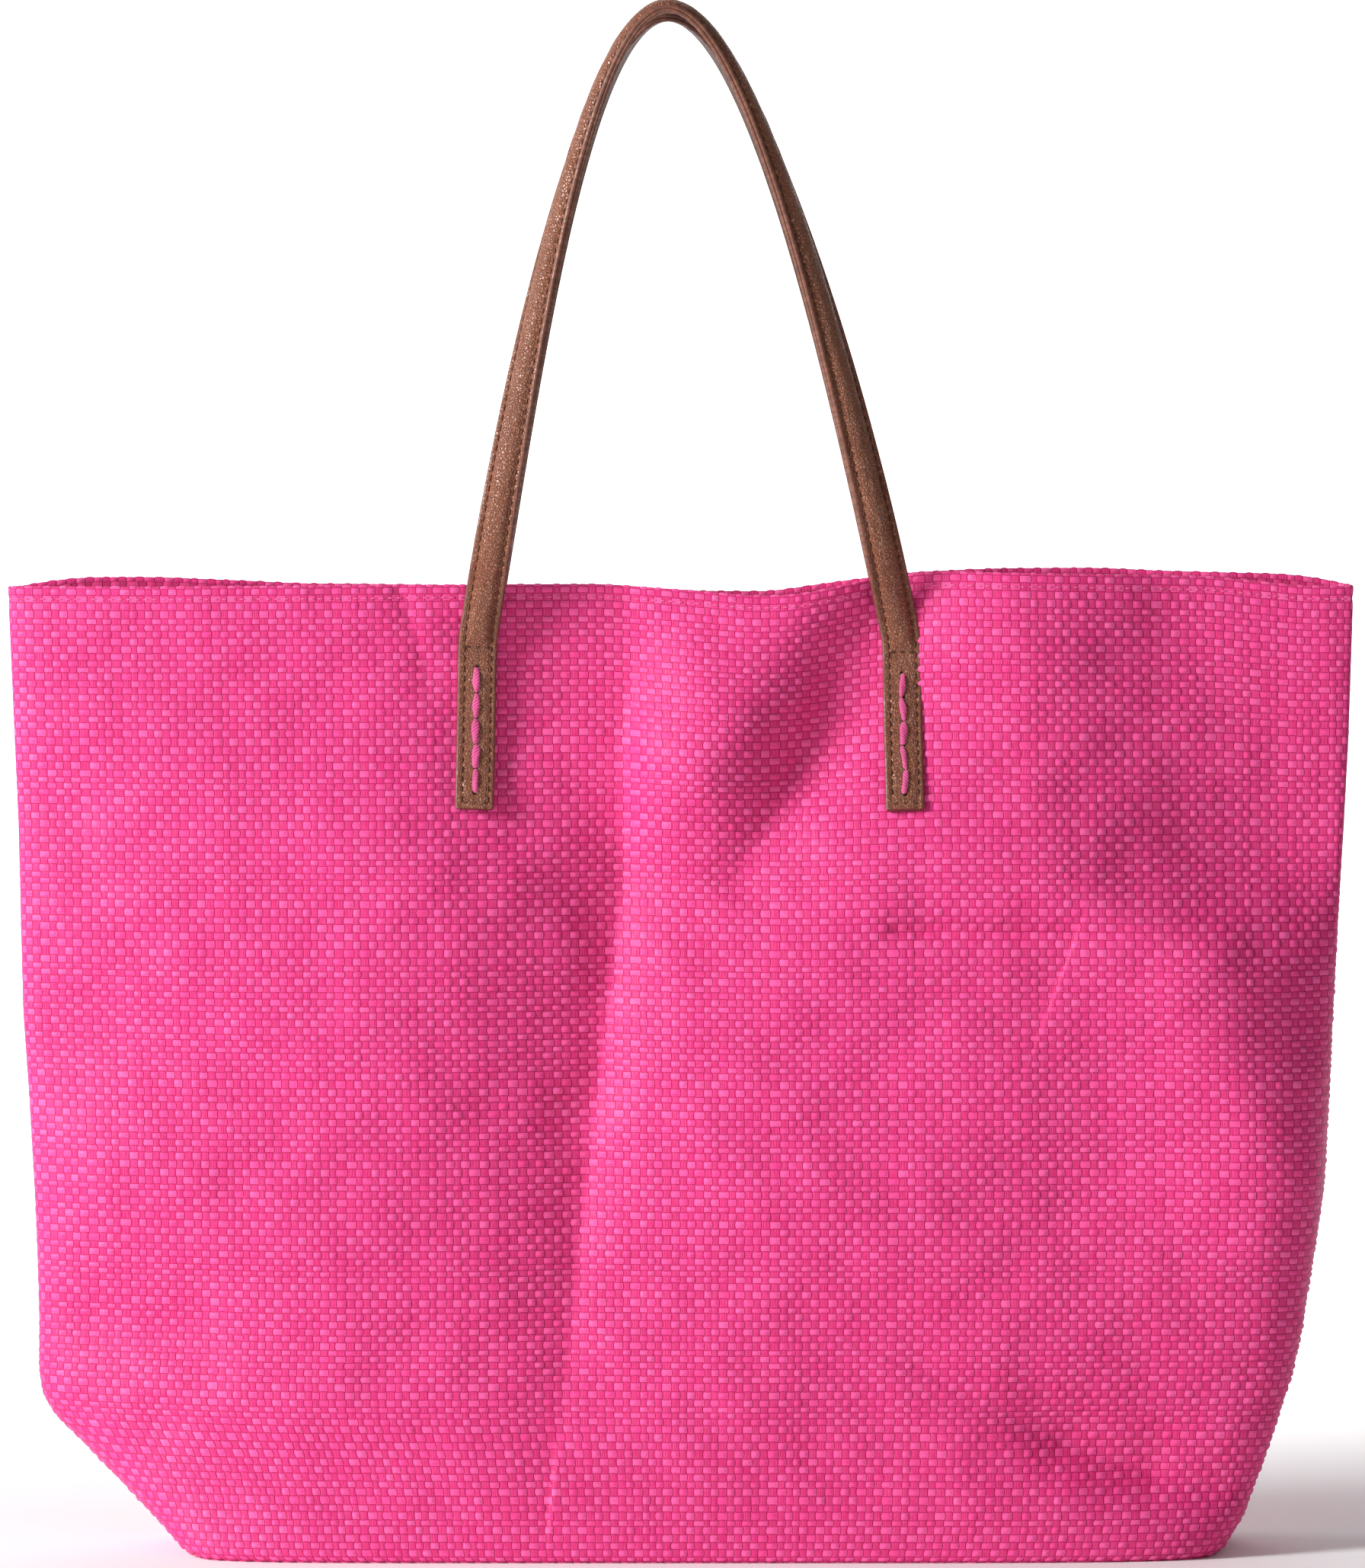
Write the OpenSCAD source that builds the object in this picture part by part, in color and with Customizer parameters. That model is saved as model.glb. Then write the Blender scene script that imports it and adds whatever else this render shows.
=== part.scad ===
// Beach tote: a woven straw-look cloth body with a boxed base, a facing and a lining, and two
// padded strap handles that end in sewn and laced tabs.
// Frame: X to the right, Y to the back, Z up, origin in the middle of the underside. Millimetres.

/* [Bag] */
// Width across the rim with the bag pressed flat
bag_width = 530; // [400:5:650]
// Height from the base to the rim
bag_height = 380; // [280:5:450]
// Length of the boxed base
base_length = 400; // [280:5:520]
// Depth of the boxed base
base_depth = 130; // [80:2:180]
// Depth of the open mouth at the rim, front to back
mouth_depth = 36; // [28:1:90]
// Thickness of the woven cloth
cloth = 1.2; // [0.8:0.1:2]
// Thickness of the lining cloth
lining_thickness = 0.4; // [0.2:0.1:0.8]
// Depth of the facing inside the rim
facing_depth = 42; // [20:1:60]
// Width of the binding tape over the seams inside
binding_width = 12; // [8:1:20]
// How far the soft walls dip and swell, as a share of their natural amount
softness = 1; // [0:0.1:1.5]

/* [Handles] */
// Width of a strap
strap_width = 15; // [10:1:30]
// Thickness of one layer of strap leather
leather = 1.6; // [1:0.1:2.5]
// Height of the padding roll under the face of a strap
padding = 1.8; // [0.5:0.1:3]
// Position of the left tabs from the middle
left_tab = -81; // [-180:1:-40]
// Position of the right tabs from the middle
right_tab = 88; // [40:1:180]
// Length of a tab
tab_length = 64.5; // [40:0.5:90]
// How far below the rim the top of a tab sits
tab_drop = 23; // [10:1:40]
// Height of the front handle above the rim
front_rise = 228; // [120:1:300]
// Height of the back handle above the rim
back_rise = 224.5; // [120:0.5:300]
// How far the handle tops lean sideways from the middle
handle_lean = -5; // [-20:1:20]

/* [Stitching] */
// Thread thickness
thread = 0.7; // [0.4:0.1:1.2]
// Distance of the stitching from the strap edges
stitch_inset = 2.3; // [1.5:0.1:4]
// Distance of the topstitching from the rim
rim_stitch_inset = 4.8; // [3:0.1:10]
// Number of yarn stitches that lace a tab to the cloth
lacing_count = 5; // [3:1:7]
// Width of a yarn stitch
lacing_width = 2.6; // [1.5:0.1:4]

/* [Display] */
// Which node to draw

/* [Hidden] */
FRONT = -1;
BACK = 1;
slip = 0.1;                                    // gap left between two layers
glue = 0.12;                                   // half the gap between the two layers of a strap
binding = 0.3;                                 // thickness of the binding tape
facing_in = cloth + slip;                      // facing, measured inwards from the outer face
facing_out = facing_in + cloth - 0.1;
binding_in = cloth + 8 * slip;
binding_out = binding_in + binding;
lining_in = binding_out + 9 * slip;
lining_out = lining_in + lining_thickness;
tab_top = bag_height - tab_drop;
tab_bottom = tab_top - tab_length;
facing_bottom = bag_height - facing_depth;
tab_lift = leather + 1.5 * slip;               // middle plane of a tab, out from the cloth
hinge_z = tab_top + 0.6;
strap_lift = tab_lift + 1;                     // middle plane of a strap, out from the cloth
apex_y = strap_width / 2 + 1.2;
half = strap_width / 2;
row_half = half - stitch_inset;                // where the two thread rows run
pad_half = row_half - 0.8;
z_rows = [for (k = [380, 366, 352, 338, 320, 300, 270, 235, 195, 155, 120, 92, 72, 56, 42, 30,
                    20, 12, 5, 0]) k * bag_height / 380];
side_steps = [0.004, 0.35, 0.7];
front_steps = 28;
ring_steps = [for (s = [0:0.07:0.71]) s, for (s = [0.76:0.04:1.24]) s, for (s = [1.3:0.07:2.01]) s];

// ---- shape of the soft body ----
function half_width(z) = base_length / 2 + (bag_width - base_length) / 2
  * (0.82 * (1 - exp(-z / 52)) + 0.18 * z / bag_height);
function half_depth(z) = mouth_depth / 2 + (base_depth - mouth_depth) / 2
  * (0.55 * exp(-z / 52) + 0.45 * (1 - z / bag_height));
function squareness(z) = 2.4 + 6.6 * exp(-z / 60);
function bell(x, middle, spread) = exp(-pow((x - middle) / spread, 2) / 2);
function ease(t) = let (k = min(1, max(0, t))) k * k * (3 - 2 * k);
// outward swell (plus) or dip (minus) of the cloth at a place on the wall
function swell(x, z, side) = softness * ease(z / 90)
  * (1 - pow(min(1, abs(x) / half_width(z)), 6))
  * (side == FRONT
    ? -4.5 * bell(x, 38, 28) * bell(z, 335, 40) + 3.5 * bell(x, -165, 60) * bell(z, 190, 90)
      + 3 * bell(x, 150, 60) * bell(z, 170, 80)
    : -3 * bell(x, -30, 40) * bell(z, 340, 60) + 3.5 * bell(x, 110, 80) * bell(z, 180, 90));
// rise and fall of the soft rim
function lift(x, z) = softness * pow(z / bag_height, 8)
  * (-4.3 * bell(x, 31, 30) + 5 * bell(x, 112, 40) + 2.5 * bell(x, 210, 35));
function settle(x, y, z, side) = [x, side * y, z + lift(x, z)];
// a place on the body's skin: fx, fy lie on a unit square, inset is measured inwards
function skin(fx, fy, z, inset, side) =
  let (n = squareness(z), g = pow(pow(abs(fx), n) + pow(abs(fy), n), -1 / n),
       x = (half_width(z) - inset) * fx * g, y = (half_depth(z) - inset) * fy * g)
  settle(x, y + swell(x, z, side) * min(1, fy * 1.2), max(z, inset), side);
// distance of the wall's outer face from the middle plane at a place seen from the front
function wall(x, z, out, side) =
  let (n = squareness(z), k = min(1, abs(x) / (half_width(z) + out)))
  (half_depth(z) + out) * pow(1 - pow(k, n), 1 / n) + swell(x, z, side);
function at_wall(x, z, out, side) = [x, side * wall(x, z - lift(x, z), out, side), z];
// where the base flap meets the side walls
function flap_edge(share, inset) =
  let (n = squareness(0)) (half_width(0) - inset) * pow(1 - pow(share * pow(2, -1 / n), n), 1 / n);
function flap(fx, share, z, inset) =
  let (n = squareness(0), g = pow(pow(abs(fx), n) + 1, -1 / n), corner = pow(2, -1 / n))
  [fx * g / corner * flap_edge(share, inset), (half_depth(0) - inset) * g * share, z];

// ---- a closed solid between two point grids of the same size ----
function quad(a, b, c, d) = [[a, b, c], [a, c, d]];
function slab_faces(rows, cols, wall_rows, first, last, flip) =
  let (m = rows * cols)
  [for (r = [0:rows - 2]) for (c = [0:cols - 2])
    let (has = function(i, j) i >= 0 && i < rows - 1 && j >= 0 && j < cols - 1
                  && (i < wall_rows - 1 || (j >= first && j < last)))
    if (has(r, c))
      let (a = r * cols + c, b = a + 1, e = a + cols + 1, d = a + cols,
           f = concat(quad(a, b, e, d), quad(a + m, d + m, e + m, b + m),
             has(r - 1, c) ? [] : quad(b, a, a + m, b + m),
             has(r, c + 1) ? [] : quad(e, b, b + m, e + m),
             has(r + 1, c) ? [] : quad(d, e, e + m, d + m),
             has(r, c - 1) ? [] : quad(a, d, d + m, a + m)))
      for (t = f) flip ? [t[0], t[2], t[1]] : t];
module slab(outer, inner, rows, cols, wall_rows = 1000, first = 0, last = 1000, flip = false) {
  polyhedron(points = concat(outer, inner),
             faces = slab_faces(rows, cols, wall_rows, first, last, flip), convexity = 8);
}

// ---- half of the body as a shell: from one side seam round the front to the other ----
columns = concat([for (s = side_steps) [-1, s]],
                 [for (k = [0:front_steps]) [-1 + 2 * k / front_steps, 1]],
                 [for (k = [len(side_steps) - 1:-1:0]) [1, side_steps[k]]]);
flap_shares = [0.75, 0.5, 0.25, 0.004];
function shell_points(side, inset, deepest, zs, with_base) =
  concat([for (z = zs) for (c = columns) skin(c[0], c[1], z, inset, side)],
    with_base ? [for (s = flap_shares) for (c = columns)
      let (p = flap(c[0], s, inset, deepest + 1.5 * slip)) [p[0], side * p[1], p[2]]] : []);
module half_shell(side, from, to, zs, with_base = false) {
  slab(shell_points(side, from, to, zs, with_base), shell_points(side, to, to, zs, with_base),
       len(zs) + (with_base ? len(flap_shares) : 0), len(columns), len(zs),
       len(side_steps), len(side_steps) + front_steps, side == BACK);
}

// ---- a patch that lies on a wall ----
function patch_points(side, x, z, width, length, out, crown, rows, cols, slope) =
  [for (r = [0:rows]) for (c = [0:cols])
    let (u = 2 * c / cols - 1, v = 1 - 2 * r / rows, pz = z + v * length / 2,
         px = x + slope * (pz - z) + u * width / 2)
    at_wall(px, pz, out + crown * (1 - u * u) * (1 - pow(v, 4)), side)];
module patch(side, x, z, width, length, from, to, crown = 0, rows = 6, cols = 2, slope = 0) {
  slab(patch_points(side, x, z, width, length, to, crown, rows, cols, slope),
       patch_points(side, x, z, width, length, from, 0, rows, cols, slope),
       rows + 1, cols + 1, flip = side == BACK);
}

// ---- the line, twist and section of a handle ----
function bezier(a, b, c, d, t) = a * pow(1 - t, 3) + b * 3 * t * pow(1 - t, 2)
  + c * 3 * t * t * (1 - t) + d * pow(t, 3);
function bezier_slope(a, b, c, d, t) = 3 * ((b - a) * pow(1 - t, 2) + (c - b) * 2 * t * (1 - t)
  + (d - c) * t * t);
function hinge_gap(side) = max(wall(left_tab, hinge_z, strap_lift, side),
                               wall(right_tab, hinge_z, strap_lift, side));
function foot(s) = s <= 1 ? left_tab + 1.2 : right_tab - 1.2;
function line_points(side, s) =
  let (rise = side == FRONT ? front_rise : back_rise, top = bag_height + rise - leather,
       reach = foot(s) - handle_lean, gap = hinge_gap(side), span = top - hinge_z)
  [[foot(s), side * gap, hinge_z + 0.8],
   [handle_lean + reach * 0.8, side * gap, hinge_z + span * 0.38],
   [handle_lean + (s <= 1 ? -33 : 33), side * apex_y, top], [handle_lean, side * apex_y, top]];
function line(side, s) = let (p = line_points(side, s), t = s <= 1 ? s : 2 - s)
  bezier(p[0], p[1], p[2], p[3], t);
function heading(side, s) = let (p = line_points(side, s), t = s <= 1 ? s : 2 - s,
  d = bezier_slope(p[0], p[1], p[2], p[3], t) * (s <= 1 ? 1 : -1)) d / norm(d);
function twist(s) = let (t = s <= 1 ? s : 2 - s) 90 * (0.75 * sin(90 * t) + 0.25 * t);
function facing_way(side, s) =
  let (t = heading(side, s), y = [0, side, 0], f = y - t * (y * t), n = f / norm(f),
       o = side == FRONT ? cross(n, t) : cross(t, n))
  n * cos(twist(s)) + o * sin(twist(s));
function strap_point(side, s, across, out) =
  let (t = heading(side, s), n = facing_way(side, s), w = side == FRONT ? cross(t, n) : cross(n, t))
  line(side, s) + w * across + n * out;
function pad_height(across, s, inset) = let (t = s <= 1 ? s : 2 - s, h = pad_half - inset)
  abs(across) >= h ? 0 : (padding - inset) * pow(1 - pow(across / h, 2), 0.6) * ease(t / 0.05 + 0.1);
function strap_grid(side, acrosses, out) =
  [for (s = ring_steps) for (a = acrosses) strap_point(side, s, a, out(a, s))];
module strap_layer(side, acrosses, top, under) {
  slab(strap_grid(side, acrosses, top), strap_grid(side, acrosses, under),
       len(ring_steps), len(acrosses), flip = side == FRONT);
}
face_columns = [-half, -row_half, -pad_half, -pad_half * 0.7, 0, pad_half * 0.7, pad_half,
                row_half, half];
core_columns = [-pad_half * 0.65, 0, pad_half * 0.65];

// ---- modules shared by the four tabs and the two handles ----
function tab_x(left) = left ? left_tab + 0.6 : right_tab - 0.6;
function tab_slope(left) = (left ? 1.2 : -1.2) / tab_length;
module tab_face(side, left) {
  color("#7a4a30") patch(side, tab_x(left), (tab_top + tab_bottom) / 2, strap_width, tab_length,
    tab_lift + 0.02, tab_lift + leather, 0, 8, 2, tab_slope(left));
}
module tab_backing(side, left) {
  color("#6a4030") patch(side, tab_x(left), (tab_top + tab_bottom) / 2, strap_width, tab_length,
    tab_lift - leather, tab_lift - 0.02, 0, 8, 2, tab_slope(left));
}
module tab_stitching(side, left) {
  low = tab_lift + leather + 0.04;
  mid = (tab_top + tab_bottom) / 2;
  run = tab_length / 2 - stitch_inset;
  color("#6b2f1e") {
    for (u = [-1, 1])
      patch(side, tab_x(left) + u * row_half, mid, thread, 2 * run - 1.5, low, low + 0.35, 0, 6, 1,
            tab_slope(left));
    for (v = [-1, 1])
      patch(side, tab_x(left) + v * run * tab_slope(left), mid + v * run, 2 * row_half - 1.2, thread,
            low, low + 0.35, 0, 1, 2, tab_slope(left));
  }
}
module lacing(side, left) {
  low = tab_lift + leather + 0.04;
  pitch = (tab_length - 14) / lacing_count;
  color("#e0508f") for (k = [0:lacing_count - 1]) {
    z = tab_bottom + 6.5 + pitch * (k + 0.5);
    patch(side, tab_x(left) + tab_slope(left) * (z - (tab_top + tab_bottom) / 2), z, lacing_width,
          pitch - 3.2, low, low + 0.15, 0.6, 4, 2, tab_slope(left));
  }
}
module reinforcement(side, left) {
  top = facing_bottom - 1.5;
  color("#d9c9b0") patch(side, tab_x(left), (top + tab_bottom - 3) / 2, 28, top - tab_bottom + 3,
    -binding_out, -binding_in, 0, 5, 4);
}
module strap_face(side) {
  color("#80503a") strap_layer(side, face_columns, function(a, s) leather + pad_height(a, s, 0),
    function(a, s) glue + pad_height(a, s, 0));
}
module strap_core(side) {
  color("#efe6d8") strap_layer(side, core_columns,
    function(a, s) glue + max(0.1, pad_height(a, s, 0) * 0.85 - 0.1), function(a, s) glue);
}
module strap_backing(side) {
  color("#6a4030") strap_layer(side, [-1, -0.5, 0, 0.5, 1] * half, function(a, s) -glue,
    function(a, s) -leather);
}
module strap_stitching(side) {
  color("#6b2f1e") for (u = [-1, 1])
    strap_layer(side, [u * row_half - thread / 2, u * row_half + thread / 2],
      function(a, s) leather + 0.38 + pad_height(u * row_half, s, 0), function(a, s) leather + 0.03);
}
module panel(side) { color("#e0508f") half_shell(side, 0, cloth, z_rows, true); }
module rim_facing(side) {
  color("#d04a85") half_shell(side, facing_in, facing_out,
    [for (k = [0:3]) bag_height - 0.4 - (facing_depth - 0.4) * k / 3]);
}
module lining(side) {
  color("#f4e9dc") half_shell(side, lining_in, lining_out,
    concat([facing_bottom - 0.6], [for (k = [4:19]) z_rows[k]]), true);
}
module rim_stitching(side) {
  color("#ef7fb0") half_shell(side, -0.44, -0.16,
    [bag_height - rim_stitch_inset + thread / 2, bag_height - rim_stitch_inset - thread / 2]);
}
// tape over a side seam, inside the cloth
module seam_binding(hand) {
  zs = concat([facing_bottom - 1], [for (k = [4:15]) z_rows[k]]);
  ys = [-1, 0, 1] * binding_width / 2;
  function tape(inset) = [for (z = zs) for (y = ys)
    let (a = skin(hand, side_steps[0], z, inset, BACK), b = skin(hand, side_steps[1], z, inset, BACK),
         t = min(1, abs(y) / b[1])) [a[0] + (b[0] - a[0]) * t, min(abs(y), b[1]) * sign(y), a[2]]];
  color("#e8c9b8") slab(tape(binding_in), tape(binding_out), len(zs), len(ys), flip = hand < 0);
}

// ---- the nodes ----
module front_panel() { panel(FRONT); }
module back_panel() { panel(BACK); }
module front_facing() { rim_facing(FRONT); }
module back_facing() { rim_facing(BACK); }
module front_lining() { lining(FRONT); }
module back_lining() { lining(BACK); }
module left_seam_binding() { seam_binding(-1); }
module right_seam_binding() { seam_binding(1); }
module base_seam_binding() {
  length = base_length - 2 * binding_width - 20;
  color("#e8c9b8") translate([-length / 2, -binding_width / 2, binding_in])
    cube([length, binding_width, binding]);
}
module corner_binding(hand) {
  length = base_depth - 34;
  color("#e8c9b8") translate([hand * (base_length / 2 - 9 - binding_width / 2) - binding_width / 2,
    -length / 2, binding_in]) cube([binding_width, length, binding]);
}
module left_corner_binding() { corner_binding(-1); }
module right_corner_binding() { corner_binding(1); }
module front_rim_stitching() { rim_stitching(FRONT); }
module back_rim_stitching() { rim_stitching(BACK); }
module front_left_tab_face() { tab_face(FRONT, true); }
module front_left_tab_backing() { tab_backing(FRONT, true); }
module front_left_tab_stitching() { tab_stitching(FRONT, true); }
module front_left_lacing() { lacing(FRONT, true); }
module front_left_reinforcement() { reinforcement(FRONT, true); }
module front_right_tab_face() { tab_face(FRONT, false); }
module front_right_tab_backing() { tab_backing(FRONT, false); }
module front_right_tab_stitching() { tab_stitching(FRONT, false); }
module front_right_lacing() { lacing(FRONT, false); }
module front_right_reinforcement() { reinforcement(FRONT, false); }
module back_left_tab_face() { tab_face(BACK, true); }
module back_left_tab_backing() { tab_backing(BACK, true); }
module back_left_tab_stitching() { tab_stitching(BACK, true); }
module back_left_lacing() { lacing(BACK, true); }
module back_left_reinforcement() { reinforcement(BACK, true); }
module back_right_tab_face() { tab_face(BACK, false); }
module back_right_tab_backing() { tab_backing(BACK, false); }
module back_right_tab_stitching() { tab_stitching(BACK, false); }
module back_right_lacing() { lacing(BACK, false); }
module back_right_reinforcement() { reinforcement(BACK, false); }
module front_strap_face() { strap_face(FRONT); }
module front_strap_core() { strap_core(FRONT); }
module front_strap_backing() { strap_backing(FRONT); }
module front_strap_stitching() { strap_stitching(FRONT); }
module back_strap_face() { strap_face(BACK); }
module back_strap_core() { strap_core(BACK); }
module back_strap_backing() { strap_backing(BACK); }
module back_strap_stitching() { strap_stitching(BACK); }

front_panel();
back_panel();
front_facing();
back_facing();
front_lining();
back_lining();
left_seam_binding();
right_seam_binding();
base_seam_binding();
left_corner_binding();
right_corner_binding();
front_rim_stitching();
back_rim_stitching();
front_left_tab_face();
front_left_tab_backing();
front_left_tab_stitching();
front_left_lacing();
front_left_reinforcement();
front_right_tab_face();
front_right_tab_backing();
front_right_tab_stitching();
front_right_lacing();
front_right_reinforcement();
back_left_tab_face();
back_left_tab_backing();
back_left_tab_stitching();
back_left_lacing();
back_left_reinforcement();
back_right_tab_face();
back_right_tab_backing();
back_right_tab_stitching();
back_right_lacing();
back_right_reinforcement();
front_strap_face();
front_strap_core();
front_strap_backing();
front_strap_stitching();
back_strap_face();
back_strap_core();
back_strap_backing();
back_strap_stitching();
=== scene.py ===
"""Beach tote in woven straw-look cloth, with two padded strap handles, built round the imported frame.

Lengths inside the classes are in millimetres, and Tailor.piece turns them into metres.
"""
from __future__ import annotations

import logging
import math
from collections.abc import Sequence
from dataclasses import dataclass, field
from enum import Enum

import bpy
import numpy as np
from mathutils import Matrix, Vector

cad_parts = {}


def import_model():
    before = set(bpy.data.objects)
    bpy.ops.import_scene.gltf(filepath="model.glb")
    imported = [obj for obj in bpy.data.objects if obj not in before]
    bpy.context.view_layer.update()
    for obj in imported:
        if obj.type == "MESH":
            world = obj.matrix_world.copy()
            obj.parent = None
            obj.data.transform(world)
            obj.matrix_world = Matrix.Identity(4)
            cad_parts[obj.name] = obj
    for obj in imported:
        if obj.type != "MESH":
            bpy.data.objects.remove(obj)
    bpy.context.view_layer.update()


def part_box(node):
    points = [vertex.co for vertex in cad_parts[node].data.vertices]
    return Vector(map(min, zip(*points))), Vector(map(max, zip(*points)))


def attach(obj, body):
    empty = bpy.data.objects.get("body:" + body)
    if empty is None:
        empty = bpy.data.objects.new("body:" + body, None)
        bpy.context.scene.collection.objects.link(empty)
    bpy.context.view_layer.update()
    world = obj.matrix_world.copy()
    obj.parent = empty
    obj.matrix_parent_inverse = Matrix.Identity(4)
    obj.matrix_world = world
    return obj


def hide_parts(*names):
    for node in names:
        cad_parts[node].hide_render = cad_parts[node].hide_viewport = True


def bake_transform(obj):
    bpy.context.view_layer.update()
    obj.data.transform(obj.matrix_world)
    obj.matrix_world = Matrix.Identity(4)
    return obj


log = logging.getLogger("beach_tote")

Grid = np.ndarray
Colour = tuple[float, float, float]
Socket = bpy.types.NodeSocket
MM = 0.001


class Side(Enum):
    """The two walls of the tote; the value is the sign of the wall's Y."""

    FRONT = -1
    BACK = 1

    @property
    def word(self) -> str:
        """Name used in node and piece names."""
        return self.name.lower()


class Hand(Enum):
    """The two ends of a handle, as seen from the front; the value is the sign of X."""

    LEFT = -1
    RIGHT = 1

    @property
    def word(self) -> str:
        """Name used in node and piece names."""
        return self.name.lower()


def bell(x: Grid, middle: float, spread: float) -> Grid:
    """Smooth bump of height 1 round middle.

    Args:
        x: Places to evaluate.
        middle: Place of the top.
        spread: Standard width of the bump.

    Returns:
        The bump's height at each place.
    """
    return np.exp(-(((x - middle) / spread) ** 2) / 2)


def ease(t: Grid) -> Grid:
    """Smooth step from 0 to 1.

    Args:
        t: Places, clipped to 0..1.

    Returns:
        The eased share.
    """
    k = np.clip(t, 0, 1)
    return k * k * (3 - 2 * k)


def soft_table(x: Grid, places: Sequence[float], values: Sequence[float], blur: float = 8.0) -> Grid:
    """Reads a table of places and values as one smooth line.

    Args:
        x: Places to read.
        places: Rising places of the table.
        values: Value at each place.
        blur: Width over which the corners of the table are rounded.

    Returns:
        The value at each place.
    """
    total = np.zeros_like(np.asarray(x, float))
    steps = np.linspace(-1, 1, 9)
    weights = (1 - steps**2) + 0.05
    for step, weight in zip(steps, weights / weights.sum()):
        total = total + weight * np.interp(x + step * blur, places, values)
    return total


def unit(v: Grid) -> Grid:
    """Scales vectors to length 1.

    Args:
        v: Vectors along the last axis.

    Returns:
        The same directions with length 1.
    """
    return v / np.maximum(np.linalg.norm(v, axis=-1, keepdims=True), 1e-9)


@dataclass(frozen=True)
class Undulation:
    """Seeded smooth noise made of a few dozen slow waves, the same at each run.

    Attributes:
        seed: Seed of the waves' directions and phases.
        size: Length of a wave.
        waves: Number of waves.
    """

    seed: int
    size: float
    waves: int = 24

    def at(self, x: Grid, y: Grid) -> Grid:
        """Evaluates the noise.

        Args:
            x: First coordinate.
            y: Second coordinate.

        Returns:
            Noise of about unit spread.
        """
        rng = np.random.default_rng(self.seed)
        total = np.zeros(np.broadcast(x, y).shape)
        for _ in range(self.waves):
            angle, phase = rng.uniform(0, 2 * np.pi, 2)
            pace = 2 * np.pi / (self.size * rng.uniform(0.7, 1.6))
            total += np.sin(pace * (x * np.cos(angle) + y * np.sin(angle)) + phase)
        return total / math.sqrt(self.waves / 2)


@dataclass(frozen=True)
class Fold:
    """A crease or ridge that runs along a line on the wall and fades away on both sides.

    Attributes:
        line: Points (x, z) along the crease, from top to bottom.
        heights: Outward height of the crease at each point, minus for a valley.
        left: Width of its left flank.
        right: Width of its right flank.
        sharp: True for a creased bottom, False for a round one.
    """

    line: tuple[tuple[float, float], ...]
    heights: tuple[float, ...]
    left: float
    right: float
    sharp: bool = True

    def at(self, x: Grid, z: Grid) -> Grid:
        """Outward move of the cloth.

        Args:
            x: Place across the wall.
            z: Height on the wall.

        Returns:
            The move in millimetres.
        """
        points = np.array(self.line, float)
        best = np.full(np.broadcast(x, z).shape, 1e9)
        side = np.zeros_like(best)
        height = np.zeros_like(best)
        for k in range(len(points) - 1):
            a, b = points[k], points[k + 1]
            d = b - a
            t = np.clip(((x - a[0]) * d[0] + (z - a[1]) * d[1]) / (d @ d), 0, 1)
            away_x, away_z = x - a[0] - t * d[0], z - a[1] - t * d[1]
            distance = np.hypot(away_x, away_z)
            nearer = distance < best
            best = np.where(nearer, distance, best)
            side = np.where(nearer, np.sign(away_x * -d[1] + away_z * d[0]), side)
            height = np.where(nearer, self.heights[k] + t * (self.heights[k + 1] - self.heights[k]), height)
        share = best / np.where(side > 0, self.right, self.left)
        profile = np.exp(-np.sqrt(share**2 + 0.02) + 0.1414) if self.sharp else np.exp(-(share**2) / 2)
        return height * profile


FRONT_FOLDS: tuple[Fold, ...] = (
    Fold(((-30, 392), (-23, 335), (-24, 259), (-33.5, 182), (-42, 110), (-48, 50)),
         (-15.0, -20.0, -17.5, -15.5, -12.0, -5.0), 38, 17),
    Fold(((90, 392), (69, 345), (45, 306), (16, 258)), (-14.0, -25.0, -18.0, 0.0), 25, 30),
    Fold(((84, 335), (78, 275), (70, 205), (62, 140), (58, 90)), (3.0, 9.0, 8.0, 4.5, 0.0), 34, 60, False),
    Fold(((54, 392), (30, 345), (8, 305), (-8, 268)), (6.0, 11.0, 8.0, 0.0), 20, 20, False),
    Fold(((96, 262), (160, 256), (203, 224), (232, 180), (244, 130), (240, 70)),
         (0.0, 9.0, 16.5, 18.0, 13.0, 5.0), 27, 24, False),
    Fold(((118, 60), (150, 45), (186, 32), (226, 26)), (-3.0, -11.0, -13.0, -6.0), 14, 24),
    Fold(((84, 245), (130, 244), (170, 243)), (-3.4, -4.4, -2.0), 5, 5),
    Fold(((236, 392), (236, 330), (232, 280)), (-4.0, -4.0, 0.0), 18, 9),
    Fold(((-268, 92), (-200, 84), (-136, 80)), (-3.0, -2.4, 0.0), 9, 9, False),
    Fold(((-262, 298), (-236, 292), (-214, 294)), (-3.0, -2.0, 0.0), 6, 6, False),
    Fold(((-262, 262), (-240, 258), (-222, 262)), (-2.4, -1.6, 0.0), 5, 5, False),
    Fold(((-256, 343), (-180, 344), (-96, 347)), (-1.2, -1.7, -0.6), 6, 6, False),
    Fold(((-110, 378), (-101, 350), (-99, 330)), (-3.0, -2.5, 0.0), 9, 7),
)
BACK_FOLDS: tuple[Fold, ...] = (
    Fold(((-34, 390), (-28, 330), (-20, 262), (-30, 190)), (-4.5, -4.0, -2.5, 0.0), 26, 20),
    Fold(((96, 384), (128, 322), (140, 262)), (-3.5, -3.2, 0.0), 30, 22),
    Fold(((110, 262), (104, 190), (112, 120)), (2.0, 4.0, 1.0), 50, 50, False),
    Fold(((-190, 70), (-150, 46), (-110, 40)), (-1.0, -3.0, 0.0), 14, 14),
    Fold(((226, 92), (180, 84)), (-2.0, 0.0), 9, 9, False),
    Fold(((-240, 300), (-222, 230), (-236, 150)), (1.5, 3.0, 0.5), 20, 22, False),
)


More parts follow.
